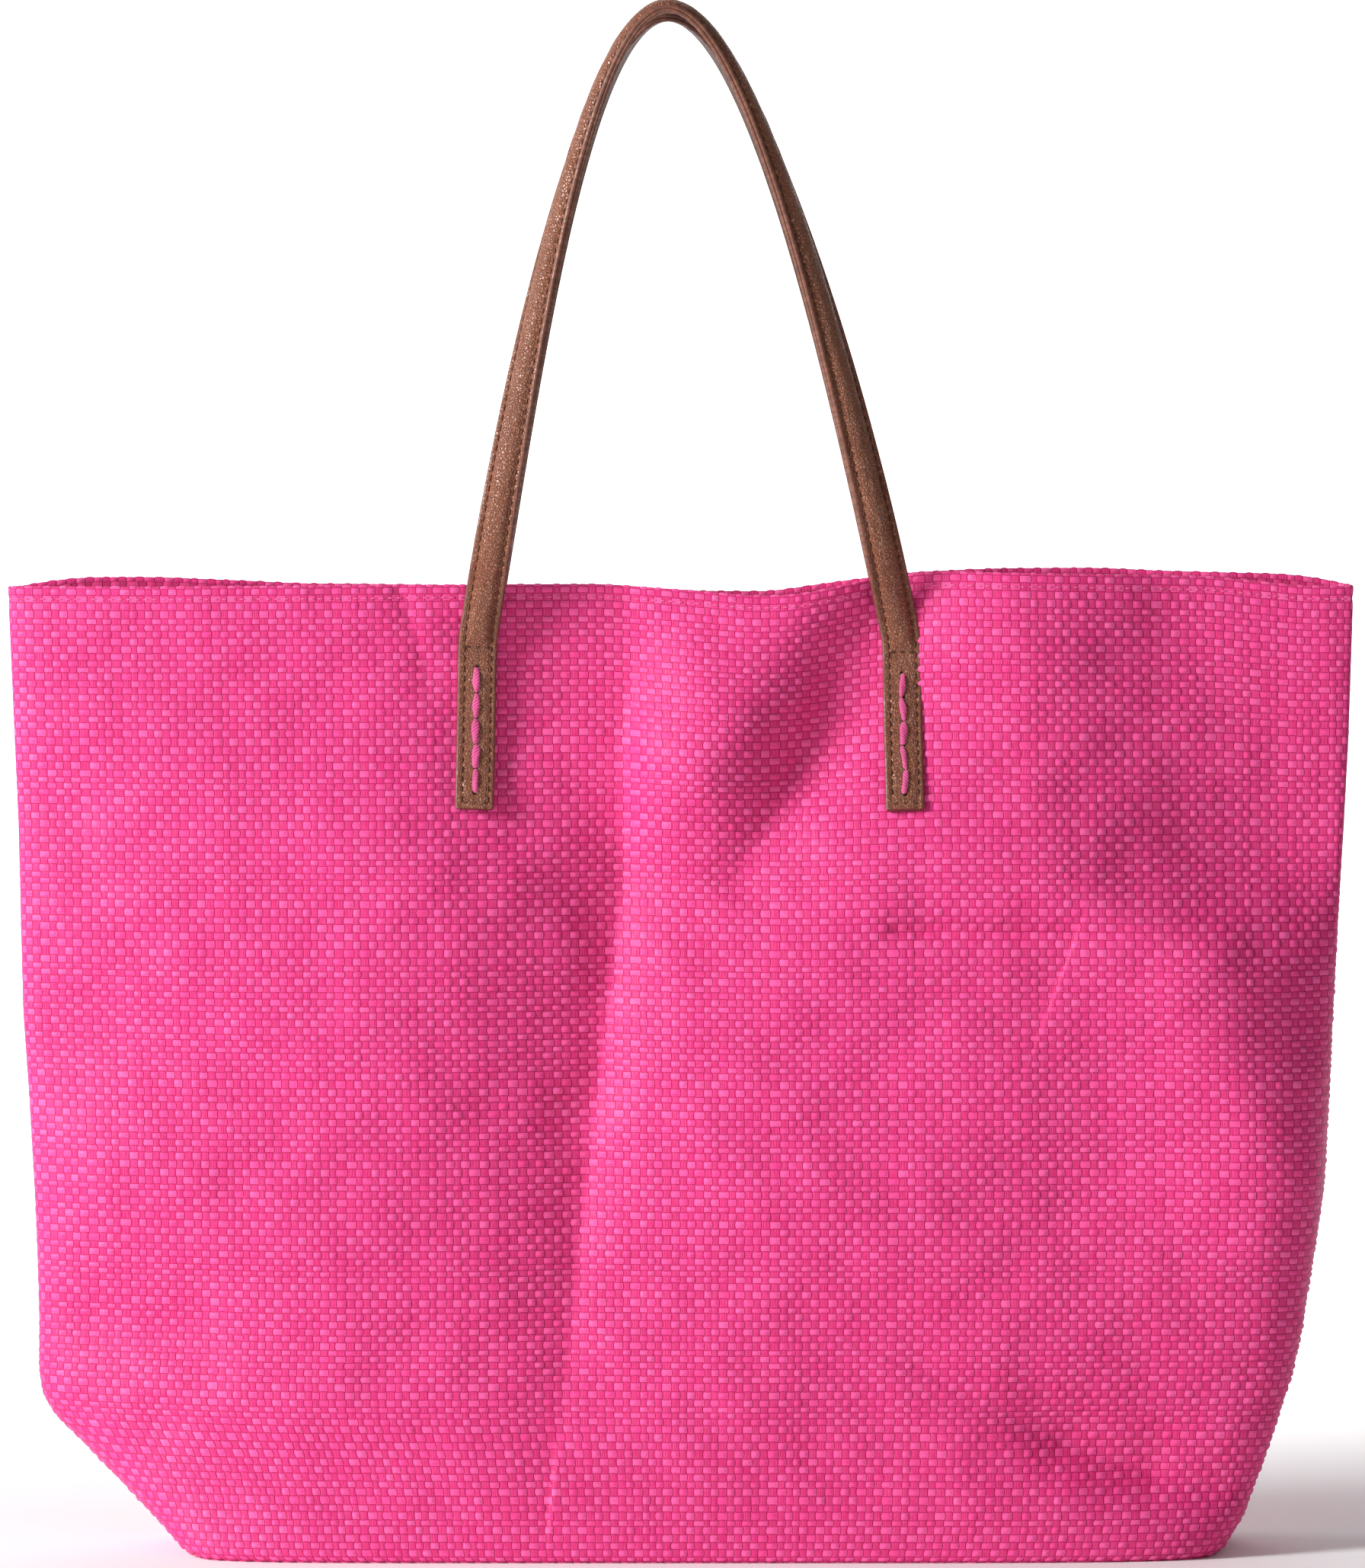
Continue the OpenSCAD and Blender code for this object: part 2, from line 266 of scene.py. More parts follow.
@dataclass
class ToteShape:
    """The soft outer surface of the tote: a boxed base that narrows to a flat rim, with its folds.

    A place on a wall is (s, t): s runs along the cloth from the left side seam (-265) to the right
    one (265), t runs up the cloth from the edge of the base.

    Attributes:
        height: Height of the rim.
        cloth_half: Half the width of a panel along the cloth.
        base_round: Radius of the edge round the base.
        base_depth: Depth of the base.
        mouth_depth: Depth of the mouth.
        levels: Heights at which the outline is known.
        left_halves: Half width to the left at each level.
        right_halves: Half width to the right at each level.
        front_rim: Height of the front rim at places across the mouth.
        back_rim: Height of the back rim at places across the mouth.
        step: Spacing of the stored grid.
        seam_fade: Power that fades the folds out towards the side seams.
        sideways: Share of a fold's move that is kept across the wall.
        least_gap: Least distance of a wall from the middle plane.
        wall_reach: Half the width over which the wall's distance is stored.
        surfaces: Stored points of each wall, filled in by the class.
        normals: Stored normals of each wall, filled in by the class.
        walls: Stored distances of each wall, filled in by the class.
    """

    height: float = 380.0
    cloth_half: float = 265.0
    base_round: float = 4.0
    base_depth: float = 130.0
    mouth_depth: float = 36.0
    levels: tuple[float, ...] = (0, 16, 34, 52, 60, 70, 88, 105, 141, 177, 212, 248, 284, 320, 380)
    left_halves: tuple[float, ...] = (193, 209, 228, 245.5, 250.2, 252.0, 252.7, 253.5, 255, 257, 259.4,
                                      260.2, 261, 262.5, 265)
    right_halves: tuple[float, ...] = (212, 222.5, 229.5, 235, 237.5, 240.6, 244.5, 247, 252.3, 255,
                                       257, 259.2, 261.4, 263.2, 265)
    front_rim: tuple[tuple[float, float], ...] = (
        (-265, 379.3), (-206, 379.3), (-90, 380.2), (-31, 380.2), (1.5, 378.1), (28, 375.7), (46, 376.3),
        (79, 382.8), (102, 385.5), (150, 384.6), (209, 383.1), (245, 379.3), (265, 379.3))
    back_rim: tuple[tuple[float, float], ...] = (
        (-265, 378.3), (-250, 380.9), (-236, 382.4), (-208, 382.4), (-179, 381.2), (-150, 379.7),
        (-65, 378.9), (6, 376.8), (35, 376.5), (63, 380.7), (92, 384.5), (120, 385.7), (163, 386),
        (192, 384.8), (234, 383.9), (249, 382.7), (265, 379.3))
    step: float = 1.0
    seam_fade: float = 22.0
    sideways: float = 0.15
    least_gap: float = 4.2
    wall_reach: int = 200
    surfaces: dict[Side, Grid] = field(default_factory=dict)
    normals: dict[Side, Grid] = field(default_factory=dict)
    walls: dict[Side, Grid] = field(default_factory=dict)

    def __post_init__(self) -> None:
        """Lays out both walls once."""
        self.top = self.height + self.base_round * (math.pi / 2 - 1)
        self.s_axis = np.arange(-self.cloth_half, self.cloth_half + 0.5, self.step)
        self.t_axis = np.arange(0, self.top + 0.5 * self.step, self.step)
        self.t_axis[-1] = self.top
        for side in Side:
            self._lay_out(side)

    def half_depth(self, z: Grid) -> Grid:
        """Distance of the wall from the middle plane at x = 0.

        Args:
            z: Heights.

        Returns:
            The distances.
        """
        mouth = self.mouth_depth / 2
        share = 0.55 * np.exp(-z / 52) + 0.45 * (1 - z / self.height)
        return mouth + (self.base_depth / 2 - mouth) * share

    def rise(self, t: Grid) -> tuple[Grid, Grid]:
        """Turns a place up the cloth into a height and an inset round the edge of the base.

        Args:
            t: Places up the cloth.

        Returns:
            Heights, and insets from the outline.
        """
        r = self.base_round
        turn = np.clip(t / r, 0, math.pi / 2)
        straight = np.maximum(t - r * math.pi / 2, 0)
        return r * (1 - np.cos(turn)) + straight, r * (1 - np.sin(turn))

    def outline(self, z: float, inset: float, side: Side, count: int) -> tuple[Grid, Grid]:
        """Half of the outline at one height, from the left seam round a wall to the right seam.

        Args:
            z: Height.
            inset: Inset from the outline.
            side: Which wall.
            count: Number of points.

        Returns:
            X and Y of the points, evenly spaced along the cloth on each half.
        """
        xs, ys = [], []
        for hand, table in ((-1, self.left_halves), (1, self.right_halves)):
            half = float(soft_table(np.array([z]), self.levels, table, 3.0)[0]) - inset
            depth = float(self.half_depth(np.array([z]))[0]) - inset
            if hand < 0:
                power = 2.4 + 4.6 * math.exp(-((z / 22) ** 1.3))
            else:
                power = 2.5 + 3.2 * math.exp(-((z / 235) ** 2))
            angle = np.linspace(0, math.pi / 2, 700)
            ring = (np.abs(np.cos(angle)) ** power + np.abs(np.sin(angle)) ** power) ** (-1 / power)
            x, y = half * np.sin(angle) * ring, depth * np.cos(angle) * ring
            x[0], y[-1] = 0, 0
            run = np.concatenate([[0], np.cumsum(np.hypot(np.diff(x), np.diff(y)))])
            want = np.linspace(0, run[-1], (count + 1) // 2)
            xs.append(hand * np.interp(want, run, x))
            ys.append(np.interp(want, run, y))
        return (np.concatenate([xs[0][::-1], xs[1][1:]]),
                side.value * np.concatenate([ys[0][::-1], ys[1][1:]]))

    def swell(self, x: Grid, z: Grid, side: Side) -> Grid:
        """Outward move of a wall by its folds and swells.

        Args:
            x: Places across the wall.
            z: Heights.
            side: Which wall.

        Returns:
            The move in millimetres.
        """
        move = np.zeros(np.broadcast(x, z).shape)
        if side is Side.FRONT:
            for fold in FRONT_FOLDS:
                move += fold.at(x, z)
            move += -4.0 * bell(x, 30, 27) * bell(z, 384, 42)
            move += -3.2 * bell(x, -76, 20) * bell(z, 352, 42)
            move += 8.5 * bell(x, -122, 66) * ease(z / 80) * (1 - ease((z - 240) / 120))
            move += 3.0 * bell(x, 110, 60) * bell(z, 120, 60) + 4.0 * bell(x, 120, 60) * bell(z, 18, 14)
            move += -11.0 * ease((x - 128) / 105) * ease((z - 222) / 70)
            move += 3.0 * bell(x, 128, 24) * bell(z, 345, 45)
            move += -3.5 * bell(x, -47, 18) * bell(z, 365, 36)
        else:
            for fold in BACK_FOLDS:
                move += 1.6 * fold.at(x, z)
            move += 3.0 * bell(x, 150, 60) * bell(z, 180, 90) + 3.0 * bell(x, -140, 55) * bell(z, 170, 80)
            move += -2.2 * bell(x, -76, 22) * bell(z, 352, 42) - 2.0 * bell(x, 90, 22) * bell(z, 352, 42)
        seed = 11 if side is Side.FRONT else 31
        move += 1.3 * Undulation(seed, 105).at(x, z) + 0.30 * Undulation(seed + 1, 26).at(x, z)
        return move * ease(z / 26)

    def rim_height(self, x: Grid, side: Side) -> Grid:
        """Height of the rim along the mouth.

        Args:
            x: Places across the mouth.
            side: Which wall.

        Returns:
            The heights.
        """
        table = self.front_rim if side is Side.FRONT else self.back_rim
        return soft_table(x, [p[0] for p in table], [p[1] for p in table], 10.0)

    def _lay_out(self, side: Side) -> None:
        """Stores the surface, its normals and the wall's distance for one side.

        Args:
            side: Which wall.
        """
        z, inset = self.rise(self.t_axis)
        rows = [self.outline(float(h), float(i), side, len(self.s_axis)) for h, i in zip(z, inset)]
        x = np.array([r[0] for r in rows])
        y = np.array([r[1] for r in rows])
        zz = np.repeat(z[:, None], x.shape[1], 1)
        flat = np.dstack([x, y, zz])
        along = np.gradient(flat, axis=1)
        up = np.gradient(flat, axis=0)
        normal = unit(np.cross(along, up)) * -side.value * 1.0
        level = normal.copy()
        level[..., 2] = 0
        level = unit(level)
        level[:, 0], level[:, -1] = (-1, 0, 0), (1, 0, 0)
        fade = np.clip(1 - (np.abs(self.s_axis) / self.cloth_half) ** self.seam_fade, 0, 1)[None, :]
        move = self.swell(x, zz, side) * fade
        ears = bell(zz, 60, 22) * bell(x, -252, 12)
        level[..., 0] *= self.sideways
        point = flat + level * move[..., None]
        point[..., 0] -= 1.5 * ears
        share = np.clip(zz / self.height, 0, 1)
        point[..., 2] += share**5 * (self.rim_height(x, side) - self.height)
        point[:, 0, 1] = point[:, -1, 1] = 0
        least = np.minimum(self.least_gap, 0.5 * np.abs(flat[..., 1]))
        spare = (side.value * point[..., 1] - least) / 2.0
        point[..., 1] = side.value * (least + 2.0 * np.logaddexp(0, spare))
        point[:, 0, 1] = point[:, -1, 1] = 0
        along = np.gradient(point, axis=1)
        up = np.gradient(point, axis=0)
        normal = unit(np.cross(along, up)) * -side.value * 1.0
        self.surfaces[side] = point
        self.normals[side] = normal
        xs = np.arange(-self.wall_reach, self.wall_reach + 1, 1.0)
        zs = np.arange(0, self.height + 1, 1.0)
        table = np.empty((len(self.t_axis), len(xs)))
        heights = np.empty_like(table)
        for k in range(len(self.t_axis)):
            table[k] = np.interp(xs, point[k, :, 0], side.value * point[k, :, 1])
            heights[k] = np.interp(xs, point[k, :, 0], point[k, :, 2])
        self.walls[side] = np.array([np.interp(zs, heights[:, c], table[:, c]) for c in range(len(xs))]).T

    @staticmethod
    def _read(grid: Grid, row: Grid, column: Grid) -> Grid:
        """Bilinear reading of a grid.

        Args:
            grid: Rows by columns, with or without a last axis.
            row: Row places, in steps.
            column: Column places, in steps.

        Returns:
            The values.
        """
        row = np.clip(row, 0, grid.shape[0] - 1.0001)
        column = np.clip(column, 0, grid.shape[1] - 1.0001)
        i, j = row.astype(int), column.astype(int)
        u, v = row - i, column - j
        if grid.ndim == 3:
            u, v = u[..., None], v[..., None]
        return (grid[i, j] * (1 - u) * (1 - v) + grid[i + 1, j] * u * (1 - v)
                + grid[i, j + 1] * (1 - u) * v + grid[i + 1, j + 1] * u * v)

    def place(self, side: Side, s: Grid, t: Grid) -> tuple[Grid, Grid]:
        """Points and normals of the outer surface.

        Args:
            side: Which wall.
            s: Places along the cloth.
            t: Places up the cloth.

        Returns:
            Points, and outward unit normals.
        """
        row, column = t / self.step, (s + self.cloth_half) / self.step
        return (self._read(self.surfaces[side], row, column),
                unit(self._read(self.normals[side], row, column)))

    def wall(self, side: Side, x: Grid, z: Grid) -> Grid:
        """Distance of the outer surface from the middle plane at a place seen from the front.

        Args:
            side: Which wall.
            x: Places across.
            z: Heights.

        Returns:
            The distances.
        """
        return self._read(self.walls[side], np.asarray(z, float), np.asarray(x, float) + self.wall_reach)


@dataclass
class Patch:
    """A mesh in the making: points in millimetres, quads, and values on the points.

    Attributes:
        points: Points, one row each.
        quads: Four point numbers for each face, outward side counter-clockwise.
        cloth: Pattern place (u, v) of each point.
        paint: Material number of each face, or None.
    """

    points: Grid
    quads: Grid
    cloth: Grid
    paint: Grid | None = None

    @staticmethod
    def from_grid(points: Grid, cloth: Grid, flip: bool = False, closed: bool = False) -> "Patch":
        """Joins a grid of points into quads.

        Args:
            points: Rows by columns by 3.
            cloth: Rows by columns by 2.
            flip: True to turn the faces over.
            closed: True if the last column joins the first.

        Returns:
            The patch.
        """
        rows, cols = points.shape[:2]
        number = np.arange(rows * cols).reshape(rows, cols)
        right = np.roll(number, -1, 1) if closed else number[:, 1:]
        left = number if closed else number[:, :-1]
        quads = np.dstack([left[:-1], right[:-1], right[1:], left[1:]]).reshape(-1, 4)
        if flip:
            quads = quads[:, ::-1]
        return Patch(points.reshape(-1, 3), quads, cloth.reshape(-1, 2))

    def painted(self, number: int) -> "Patch":
        """The same patch with one material number on every face."""
        return Patch(self.points, self.quads, self.cloth, np.full(len(self.quads), number))

    @staticmethod
    def joined(patches: Sequence["Patch"]) -> "Patch":
        """Puts several patches in one mesh.

        Args:
            patches: The patches.

        Returns:
            One patch that holds them all.
        """
        offsets = np.cumsum([0] + [len(p.points) for p in patches[:-1]])
        paints = [np.zeros(len(p.quads), int) if p.paint is None else p.paint for p in patches]
        return Patch(np.concatenate([p.points for p in patches]),
                     np.concatenate([p.quads + o for p, o in zip(patches, offsets)]),
                     np.concatenate([p.cloth for p in patches]), np.concatenate(paints))


class Tailor:
    """Turns patches into Blender pieces in metres."""

    def piece(self, name: str, patch: Patch, materials: Sequence[bpy.types.Material]) -> bpy.types.Object:
        """Makes an object from a patch.

        Args:
            name: Name of the piece.
            patch: Its points and faces.
            materials: Its materials, in the order of the paint numbers.

        Returns:
            The object, linked to the scene.
        """
        mesh = bpy.data.meshes.new(name)
        count = len(patch.quads)
        mesh.vertices.add(len(patch.points))
        mesh.vertices.foreach_set("co", (patch.points * MM).astype(np.float32).ravel())
        mesh.loops.add(count * 4)
        mesh.polygons.add(count)
        corners = patch.quads.astype(np.int32).ravel()
        mesh.loops.foreach_set("vertex_index", corners)
        mesh.polygons.foreach_set("loop_start", np.arange(0, count * 4, 4, dtype=np.int32))
        mesh.polygons.foreach_set("use_smooth", np.ones(count, bool))
        if patch.paint is not None:
            mesh.polygons.foreach_set("material_index", patch.paint.astype(np.int32))
        layer = mesh.uv_layers.new(name="cloth")
        layer.data.foreach_set("uv", patch.cloth[corners].astype(np.float32).ravel())
        mesh.update(calc_edges=True)
        for material in materials:
            mesh.materials.append(material)
        thing = bpy.data.objects.new(name, mesh)
        bpy.context.scene.collection.objects.link(thing)
        return thing

    def finish(self, name: str, patch: Patch, materials: Sequence[bpy.types.Material], slot: str,
               nodes: Sequence[str], body: str | None = "bag") -> bpy.types.Object:
        """Makes a piece, rides it on its body and lets it stand for its nodes.

        Args:
            name: Name of the piece.
            patch: Its points and faces.
            materials: Its materials.
            slot: The record's material slot; not used.
            nodes: Nodes it stands for.
            body: Body it rides on, or None to leave it unattached.

        Returns:
            The object.
        """
        thing = self.piece(name, patch, materials)
        if body is not None:
            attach(thing, body)
        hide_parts(*nodes)
        log.info("%s: %d faces, stands for %s", name, len(patch.quads), ", ".join(nodes) or "nothing")
        return thing


def capsule(start: Grid, end: Grid, lift: Grid, radius: float, bow: float, rings: int = 8,
            sides: int = 8, ply: float = 0.0) -> Patch:
    """A short stitch: a thread that comes up at start, arches and goes down at end.

    Args:
        start: Point where it comes up.
        end: Point where it goes down.
        lift: Unit direction away from the surface.
        radius: Radius of the thread.
        bow: Height of the arch.
        rings: Rings along the stitch.
        sides: Sides of a ring.
        ply: Depth of the twist grooves, as a share of the radius.

    Returns:
        The stitch as a patch.
    """
    along = unit(end - start)
    across = unit(np.cross(along, lift))
    t = np.linspace(0, 1, rings)
    angle = np.linspace(0, 2 * np.pi, sides, endpoint=False)
    length = float(np.linalg.norm(end - start))
    width = radius * np.sqrt(np.clip(1 - np.abs(2 * t - 1) ** 3.5, 0.02, 1))
    centre = start + (end - start) * t[:, None] + lift * (bow * np.sin(np.pi * t))[:, None]
    twist = 1 + ply * np.cos(3 * (angle[None, :] + t[:, None] * length * 1.4))
    ring = (across[None, None, :] * (np.cos(angle) * twist)[..., None]
            + lift[None, None, :] * (np.sin(angle) * twist * 0.85)[..., None])
    points = centre[:, None, :] + ring * width[:, None, None]
    cloth = np.dstack(np.broadcast_arrays((t * length)[:, None], (angle / (2 * np.pi) * 6 * radius)[None, :]))
    return Patch.from_grid(points, cloth, closed=True, flip=True)


class NodeKit:
    """Short calls for building node trees."""

    def __init__(self, tree: bpy.types.NodeTree) -> None:
        """Keeps the tree.

        Args:
            tree: The tree that nodes are added to.
        """
        self.tree = tree
        self.at = 0

    def node(self, kind: str, **settings: object) -> bpy.types.Node:
        """Adds a node.

        Args:
            kind: Its Blender type.
            **settings: Properties to set on it.

        Returns:
            The node.
        """
        made = self.tree.nodes.new(kind)
        made.location = (180 * (self.at % 12), -220 * (self.at // 12))
        self.at += 1
        for name, value in settings.items():
            setattr(made, name, value)
        return made

    def feed(self, socket: bpy.types.NodeSocket, value: object) -> None:
        """Links an output to a socket, or sets the socket's own value.

        Args:
            socket: The input.
            value: An output socket, a number or a tuple.
        """
        if isinstance(value, bpy.types.NodeSocket):
            self.tree.links.new(value, socket)
        else:
            socket.default_value = value

    def math(self, operation: str, a: object, b: object = 0.0) -> Socket:
        """Adds a Math node.

        Args:
            operation: What it does.
            a: First input.
            b: Second input, where it has one.

        Returns:
            Its output.
        """
        made = self.node("ShaderNodeMath", operation=operation)
        for socket, value in zip(made.inputs, (a, b)):
            self.feed(socket, value)
        return made.outputs[0]

    def mix(self, share: object, a: object, b: object) -> Socket:
        """Mixes two colours.

        Args:
            share: How much of the second.
            a: First colour.
            b: Second colour.

        Returns:
            The mixed colour.
        """
        made = self.node("ShaderNodeMix", data_type="RGBA")
        for socket, value in zip((made.inputs[0], made.inputs[6], made.inputs[7]), (share, a, b)):
            self.feed(socket, (*value, 1.0) if isinstance(value, tuple) else value)
        return made.outputs[2]

    def choose(self, share: object, a: object, b: object) -> Socket:
        """Mixes two numbers.

        Args:
            share: How much of the second.
            a: First number.
            b: Second number.

        Returns:
            The mixed number.
        """
        made = self.node("ShaderNodeMix", data_type="FLOAT")
        for socket, value in zip((made.inputs[0], made.inputs[2], made.inputs[3]), (share, a, b)):
            self.feed(socket, value)
        return made.outputs[0]

    def ramp(self, value: object, low: float, high: float, a: float = 0.0, b: float = 1.0,
             smooth: bool = True) -> Socket:
        """Maps a number from one range to another, and keeps it inside that range.

        Args:
            value: The number.
            low: Start of its range.
            high: End of its range.
            a: Result at the start.
            b: Result at the end.
            smooth: True for a soft start and end.

        Returns:
            The mapped number.
        """
        made = self.node("ShaderNodeMapRange", interpolation_type="SMOOTHSTEP" if smooth else "LINEAR")
        for socket, given in zip(made.inputs[:5], (value, low, high, a, b)):
            self.feed(socket, given)
        return made.outputs[0]

    def scaled(self, vector: object, scale: tuple[float, float, float]) -> Socket:
        """Multiplies a vector by fixed factors.

        Args:
            vector: The vector.
            scale: Its three factors.

        Returns:
            The product.
        """
        made = self.node("ShaderNodeVectorMath", operation="MULTIPLY")
        self.feed(made.inputs[0], vector)
        made.inputs[1].default_value = scale
        return made.outputs[0]

    def times(self, vector: object, factor: object) -> Socket:
        """Multiplies a vector by one factor.

        Args:
            vector: The vector.
            factor: The factor.

        Returns:
            The product.
        """
        made = self.node("ShaderNodeVectorMath", operation="SCALE")
        self.feed(made.inputs[0], vector)
        self.feed(made.inputs["Scale"], factor)
        return made.outputs[0]

    def noise(self, vector: object, scale: float, detail: float = 2.0, rough: float = 0.5) -> Socket:
        """Adds a noise texture.

        Args:
            vector: Where it is read.
            scale: Its scale.
            detail: Its detail.
            rough: Its roughness.

        Returns:
            Its value.
        """
        made = self.node("ShaderNodeTexNoise")
        self.feed(made.inputs["Vector"], vector)
        for label, value in (("Scale", scale), ("Detail", detail), ("Roughness", rough)):
            made.inputs[label].default_value = value
        return made.outputs["Fac"]

    def split(self, vector: object) -> tuple[Socket, Socket]:
        """Takes a vector apart.

        Args:
            vector: The vector.

        Returns:
            Its X and its Y.
        """
        made = self.node("ShaderNodeSeparateXYZ")
        self.feed(made.inputs[0], vector)
        return made.outputs[0], made.outputs[1]

    def give(self, out: bpy.types.Node, **results: Socket) -> bpy.types.NodeTree:
        """Links a group's results to its output node.

        Args:
            out: The output node.
            **results: Each result by the name of its socket.

        Returns:
            The group's tree.
        """
        for label, value in results.items():
            self.feed(out.inputs[label], value)
        return self.tree


class GroupShelf:
    """The shader effects that several finishes share, each built once as a node group."""

    def __init__(self) -> None:
        """Builds every group."""
        self.weave = self._weave()
        self.threads = self._threads()
        self.grain = self._grain()
        self.ply = self._ply()
        self.tone = self._tone()

    @staticmethod
    def _start(name: str, inputs: Sequence[tuple[str, str, object]],
               outputs: Sequence[tuple[str, str]]) -> tuple[NodeKit, bpy.types.Node, bpy.types.Node]:
        """Opens a group with its sockets.

        Args:
            name: Name of the group.
            inputs: Name, socket type and default of each input.
            outputs: Name and socket type of each output.
        """
        group = bpy.data.node_groups.new(name, "ShaderNodeTree")
        for label, kind, value in inputs:
            socket = group.interface.new_socket(name=label, in_out="INPUT", socket_type=kind)
            if value is not None:
                socket.default_value = value
        for label, kind in outputs:
            group.interface.new_socket(name=label, in_out="OUTPUT", socket_type=kind)
        kit = NodeKit(group)
        return kit, kit.node("NodeGroupInput"), kit.node("NodeGroupOutput")

    def _weave(self) -> bpy.types.NodeTree:
        """Plain weave of flat straw-like ribbons: floats on top, split warp ribbons between them, with
        painted shade in the gaps.

        Returns:
            The group. Its Place input counts cells.
        """
        kit, given, out = self._start(
            "ribbon weave", [("Place", "NodeSocketVector", None)],
            [("Float", "NodeSocketFloat"), ("Gap", "NodeSocketFloat"), ("Tone", "NodeSocketFloat"),
             ("Lines", "NodeSocketFloat"), ("Fleck", "NodeSocketFloat"), ("Height", "NodeSocketFloat")])
        place = given.outputs[0]
        a, b = kit.split(place)
        column, row = kit.math("FLOOR", a), kit.math("FLOOR", b)
        fa, fb = kit.math("FRACT", a), kit.math("FRACT", b)
        parity = kit.math("PINGPONG", kit.math("ADD", column, row), 1.0)
        is_float = kit.math("SUBTRACT", 1.0, parity)
        combine = kit.node("ShaderNodeCombineXYZ")
        kit.feed(combine.inputs[0], column)
        kit.feed(combine.inputs[1], row)
        random = kit.node("ShaderNodeTexWhiteNoise", noise_dimensions="2D")
        kit.feed(random.inputs["Vector"], combine.outputs[0])
        tone = random.outputs["Value"]
        edge_a = kit.math("MULTIPLY", kit.math("PINGPONG", fa, 0.5), 2.0)
        edge_b = kit.math("MULTIPLY", kit.math("PINGPONG", fb, 0.5), 2.0)
        # painted shade: the float and warp edges darken towards the gaps between the ribbons
        float_gap = kit.math("MAXIMUM", kit.ramp(edge_a, 0.10, 0.0), kit.ramp(edge_b, 0.16, 0.02))
        warp_gap = kit.math("MAXIMUM", kit.ramp(edge_a, 0.26, 0.06), kit.ramp(edge_b, 0.30, 0.0, 0.0, 0.7))
        strands = kit.math("ABSOLUTE", kit.math("SINE", kit.math(
            "ADD", kit.math("MULTIPLY", fa, 9.4), kit.math("MULTIPLY", tone, 6.0))))
        split = kit.ramp(strands, 0.30, 0.02)
        long_lines = kit.noise(kit.scaled(place, (0.9, 14.0, 1.0)), 1.0, 3.0, 0.6)
        tall_lines = kit.noise(kit.scaled(place, (17.0, 0.8, 1.0)), 1.0, 3.0, 0.6)
        line = kit.choose(is_float, tall_lines, long_lines)
        # painted shade in the splits between the warp strips, joined with the edge shade
        warp_dark = kit.math("MAXIMUM", warp_gap, kit.math("MULTIPLY", split, 0.75))
        gap = kit.choose(is_float, warp_dark, float_gap)
        frayed = kit.noise(kit.scaled(place, (2.6, 6.5, 1.0)), 1.0, 4.0, 0.7)
        fleck = kit.math("MULTIPLY", kit.ramp(frayed, 0.62, 0.76), kit.ramp(tone, 0.55, 0.95))
        raised = kit.math("MULTIPLY", kit.math("SUBTRACT", 1.0, gap), 0.22)
        height = kit.math("ADD", kit.math("MULTIPLY", line, 0.10), raised)
        return kit.give(out, Float=is_float, Gap=gap, Tone=tone, Lines=line, Fleck=fleck, Height=height)

    def _threads(self) -> bpy.types.NodeTree:
        """Fine plain weave of thin cloth and tape.

        Returns:
            The group. Its Place input is in millimetres.
        """
        kit, given, out = self._start(
            "fine threads", [("Place", "NodeSocketVector", None), ("Threads per mm", "NodeSocketFloat", 1.6)],
            [("Weft", "NodeSocketFloat"), ("Slub", "NodeSocketFloat"), ("Height", "NodeSocketFloat")])
        a, b = kit.split(kit.times(given.outputs[0], given.outputs[1]))
        sa = kit.math("SINE", kit.math("MULTIPLY", a, math.pi))
        sb = kit.math("SINE", kit.math("MULTIPLY", b, math.pi))
        weft = kit.ramp(kit.math("MULTIPLY", sa, sb), -0.4, 0.4)
        slub = kit.noise(kit.scaled(given.outputs[0], (0.12, 1.4, 1.0)), 1.0, 3.0, 0.6)
        both = kit.math("ADD", kit.math("ABSOLUTE", sa), kit.math("ABSOLUTE", sb))
        return kit.give(out, Weft=weft, Slub=slub, Height=kit.math("MULTIPLY", both, 0.5))

    def _grain(self) -> bpy.types.NodeTree:
        """Leather grain: small pebbles with creases between them, and stretched wrinkles.

        Returns:
            The group. Its Place input is in millimetres.
        """
        kit, given, out = self._start(
            "leather grain",
            [("Place", "NodeSocketVector", None), ("Pebbles per mm", "NodeSocketFloat", 1.5)],
            [("Crease", "NodeSocketFloat"), ("Cloud", "NodeSocketFloat"), ("Height", "NodeSocketFloat")])
        place = kit.times(given.outputs[0], given.outputs[1])
        warp = kit.node("ShaderNodeTexNoise")
        kit.feed(warp.inputs["Vector"], place)
        warp.inputs["Scale"].default_value = 0.7
        bent = kit.node("ShaderNodeVectorMath", operation="MULTIPLY_ADD")
        kit.feed(bent.inputs[0], warp.outputs["Color"])
        bent.inputs[1].default_value = (1.3, 1.3, 0.0)
        kit.feed(bent.inputs[2], place)
        cells = kit.node("ShaderNodeTexVoronoi", feature="DISTANCE_TO_EDGE")
        kit.feed(cells.inputs["Vector"], kit.scaled(bent.outputs[0], (1.0, 0.72, 1.0)))
        cells.inputs["Scale"].default_value = 1.0
        pebble = kit.ramp(cells.outputs["Distance"], 0.0, 0.22)
        crease = kit.math("SUBTRACT", 1.0, pebble)
        cloud = kit.noise(given.outputs[0], 0.09, 4.0, 0.6)
        wrinkle = kit.noise(kit.scaled(given.outputs[0], (0.5, 0.22, 1.0)), 1.0, 3.0, 0.55)
        height = kit.math("ADD", pebble, kit.math("MULTIPLY", wrinkle, 1.6))
        return kit.give(out, Crease=crease, Cloud=cloud, Height=height)

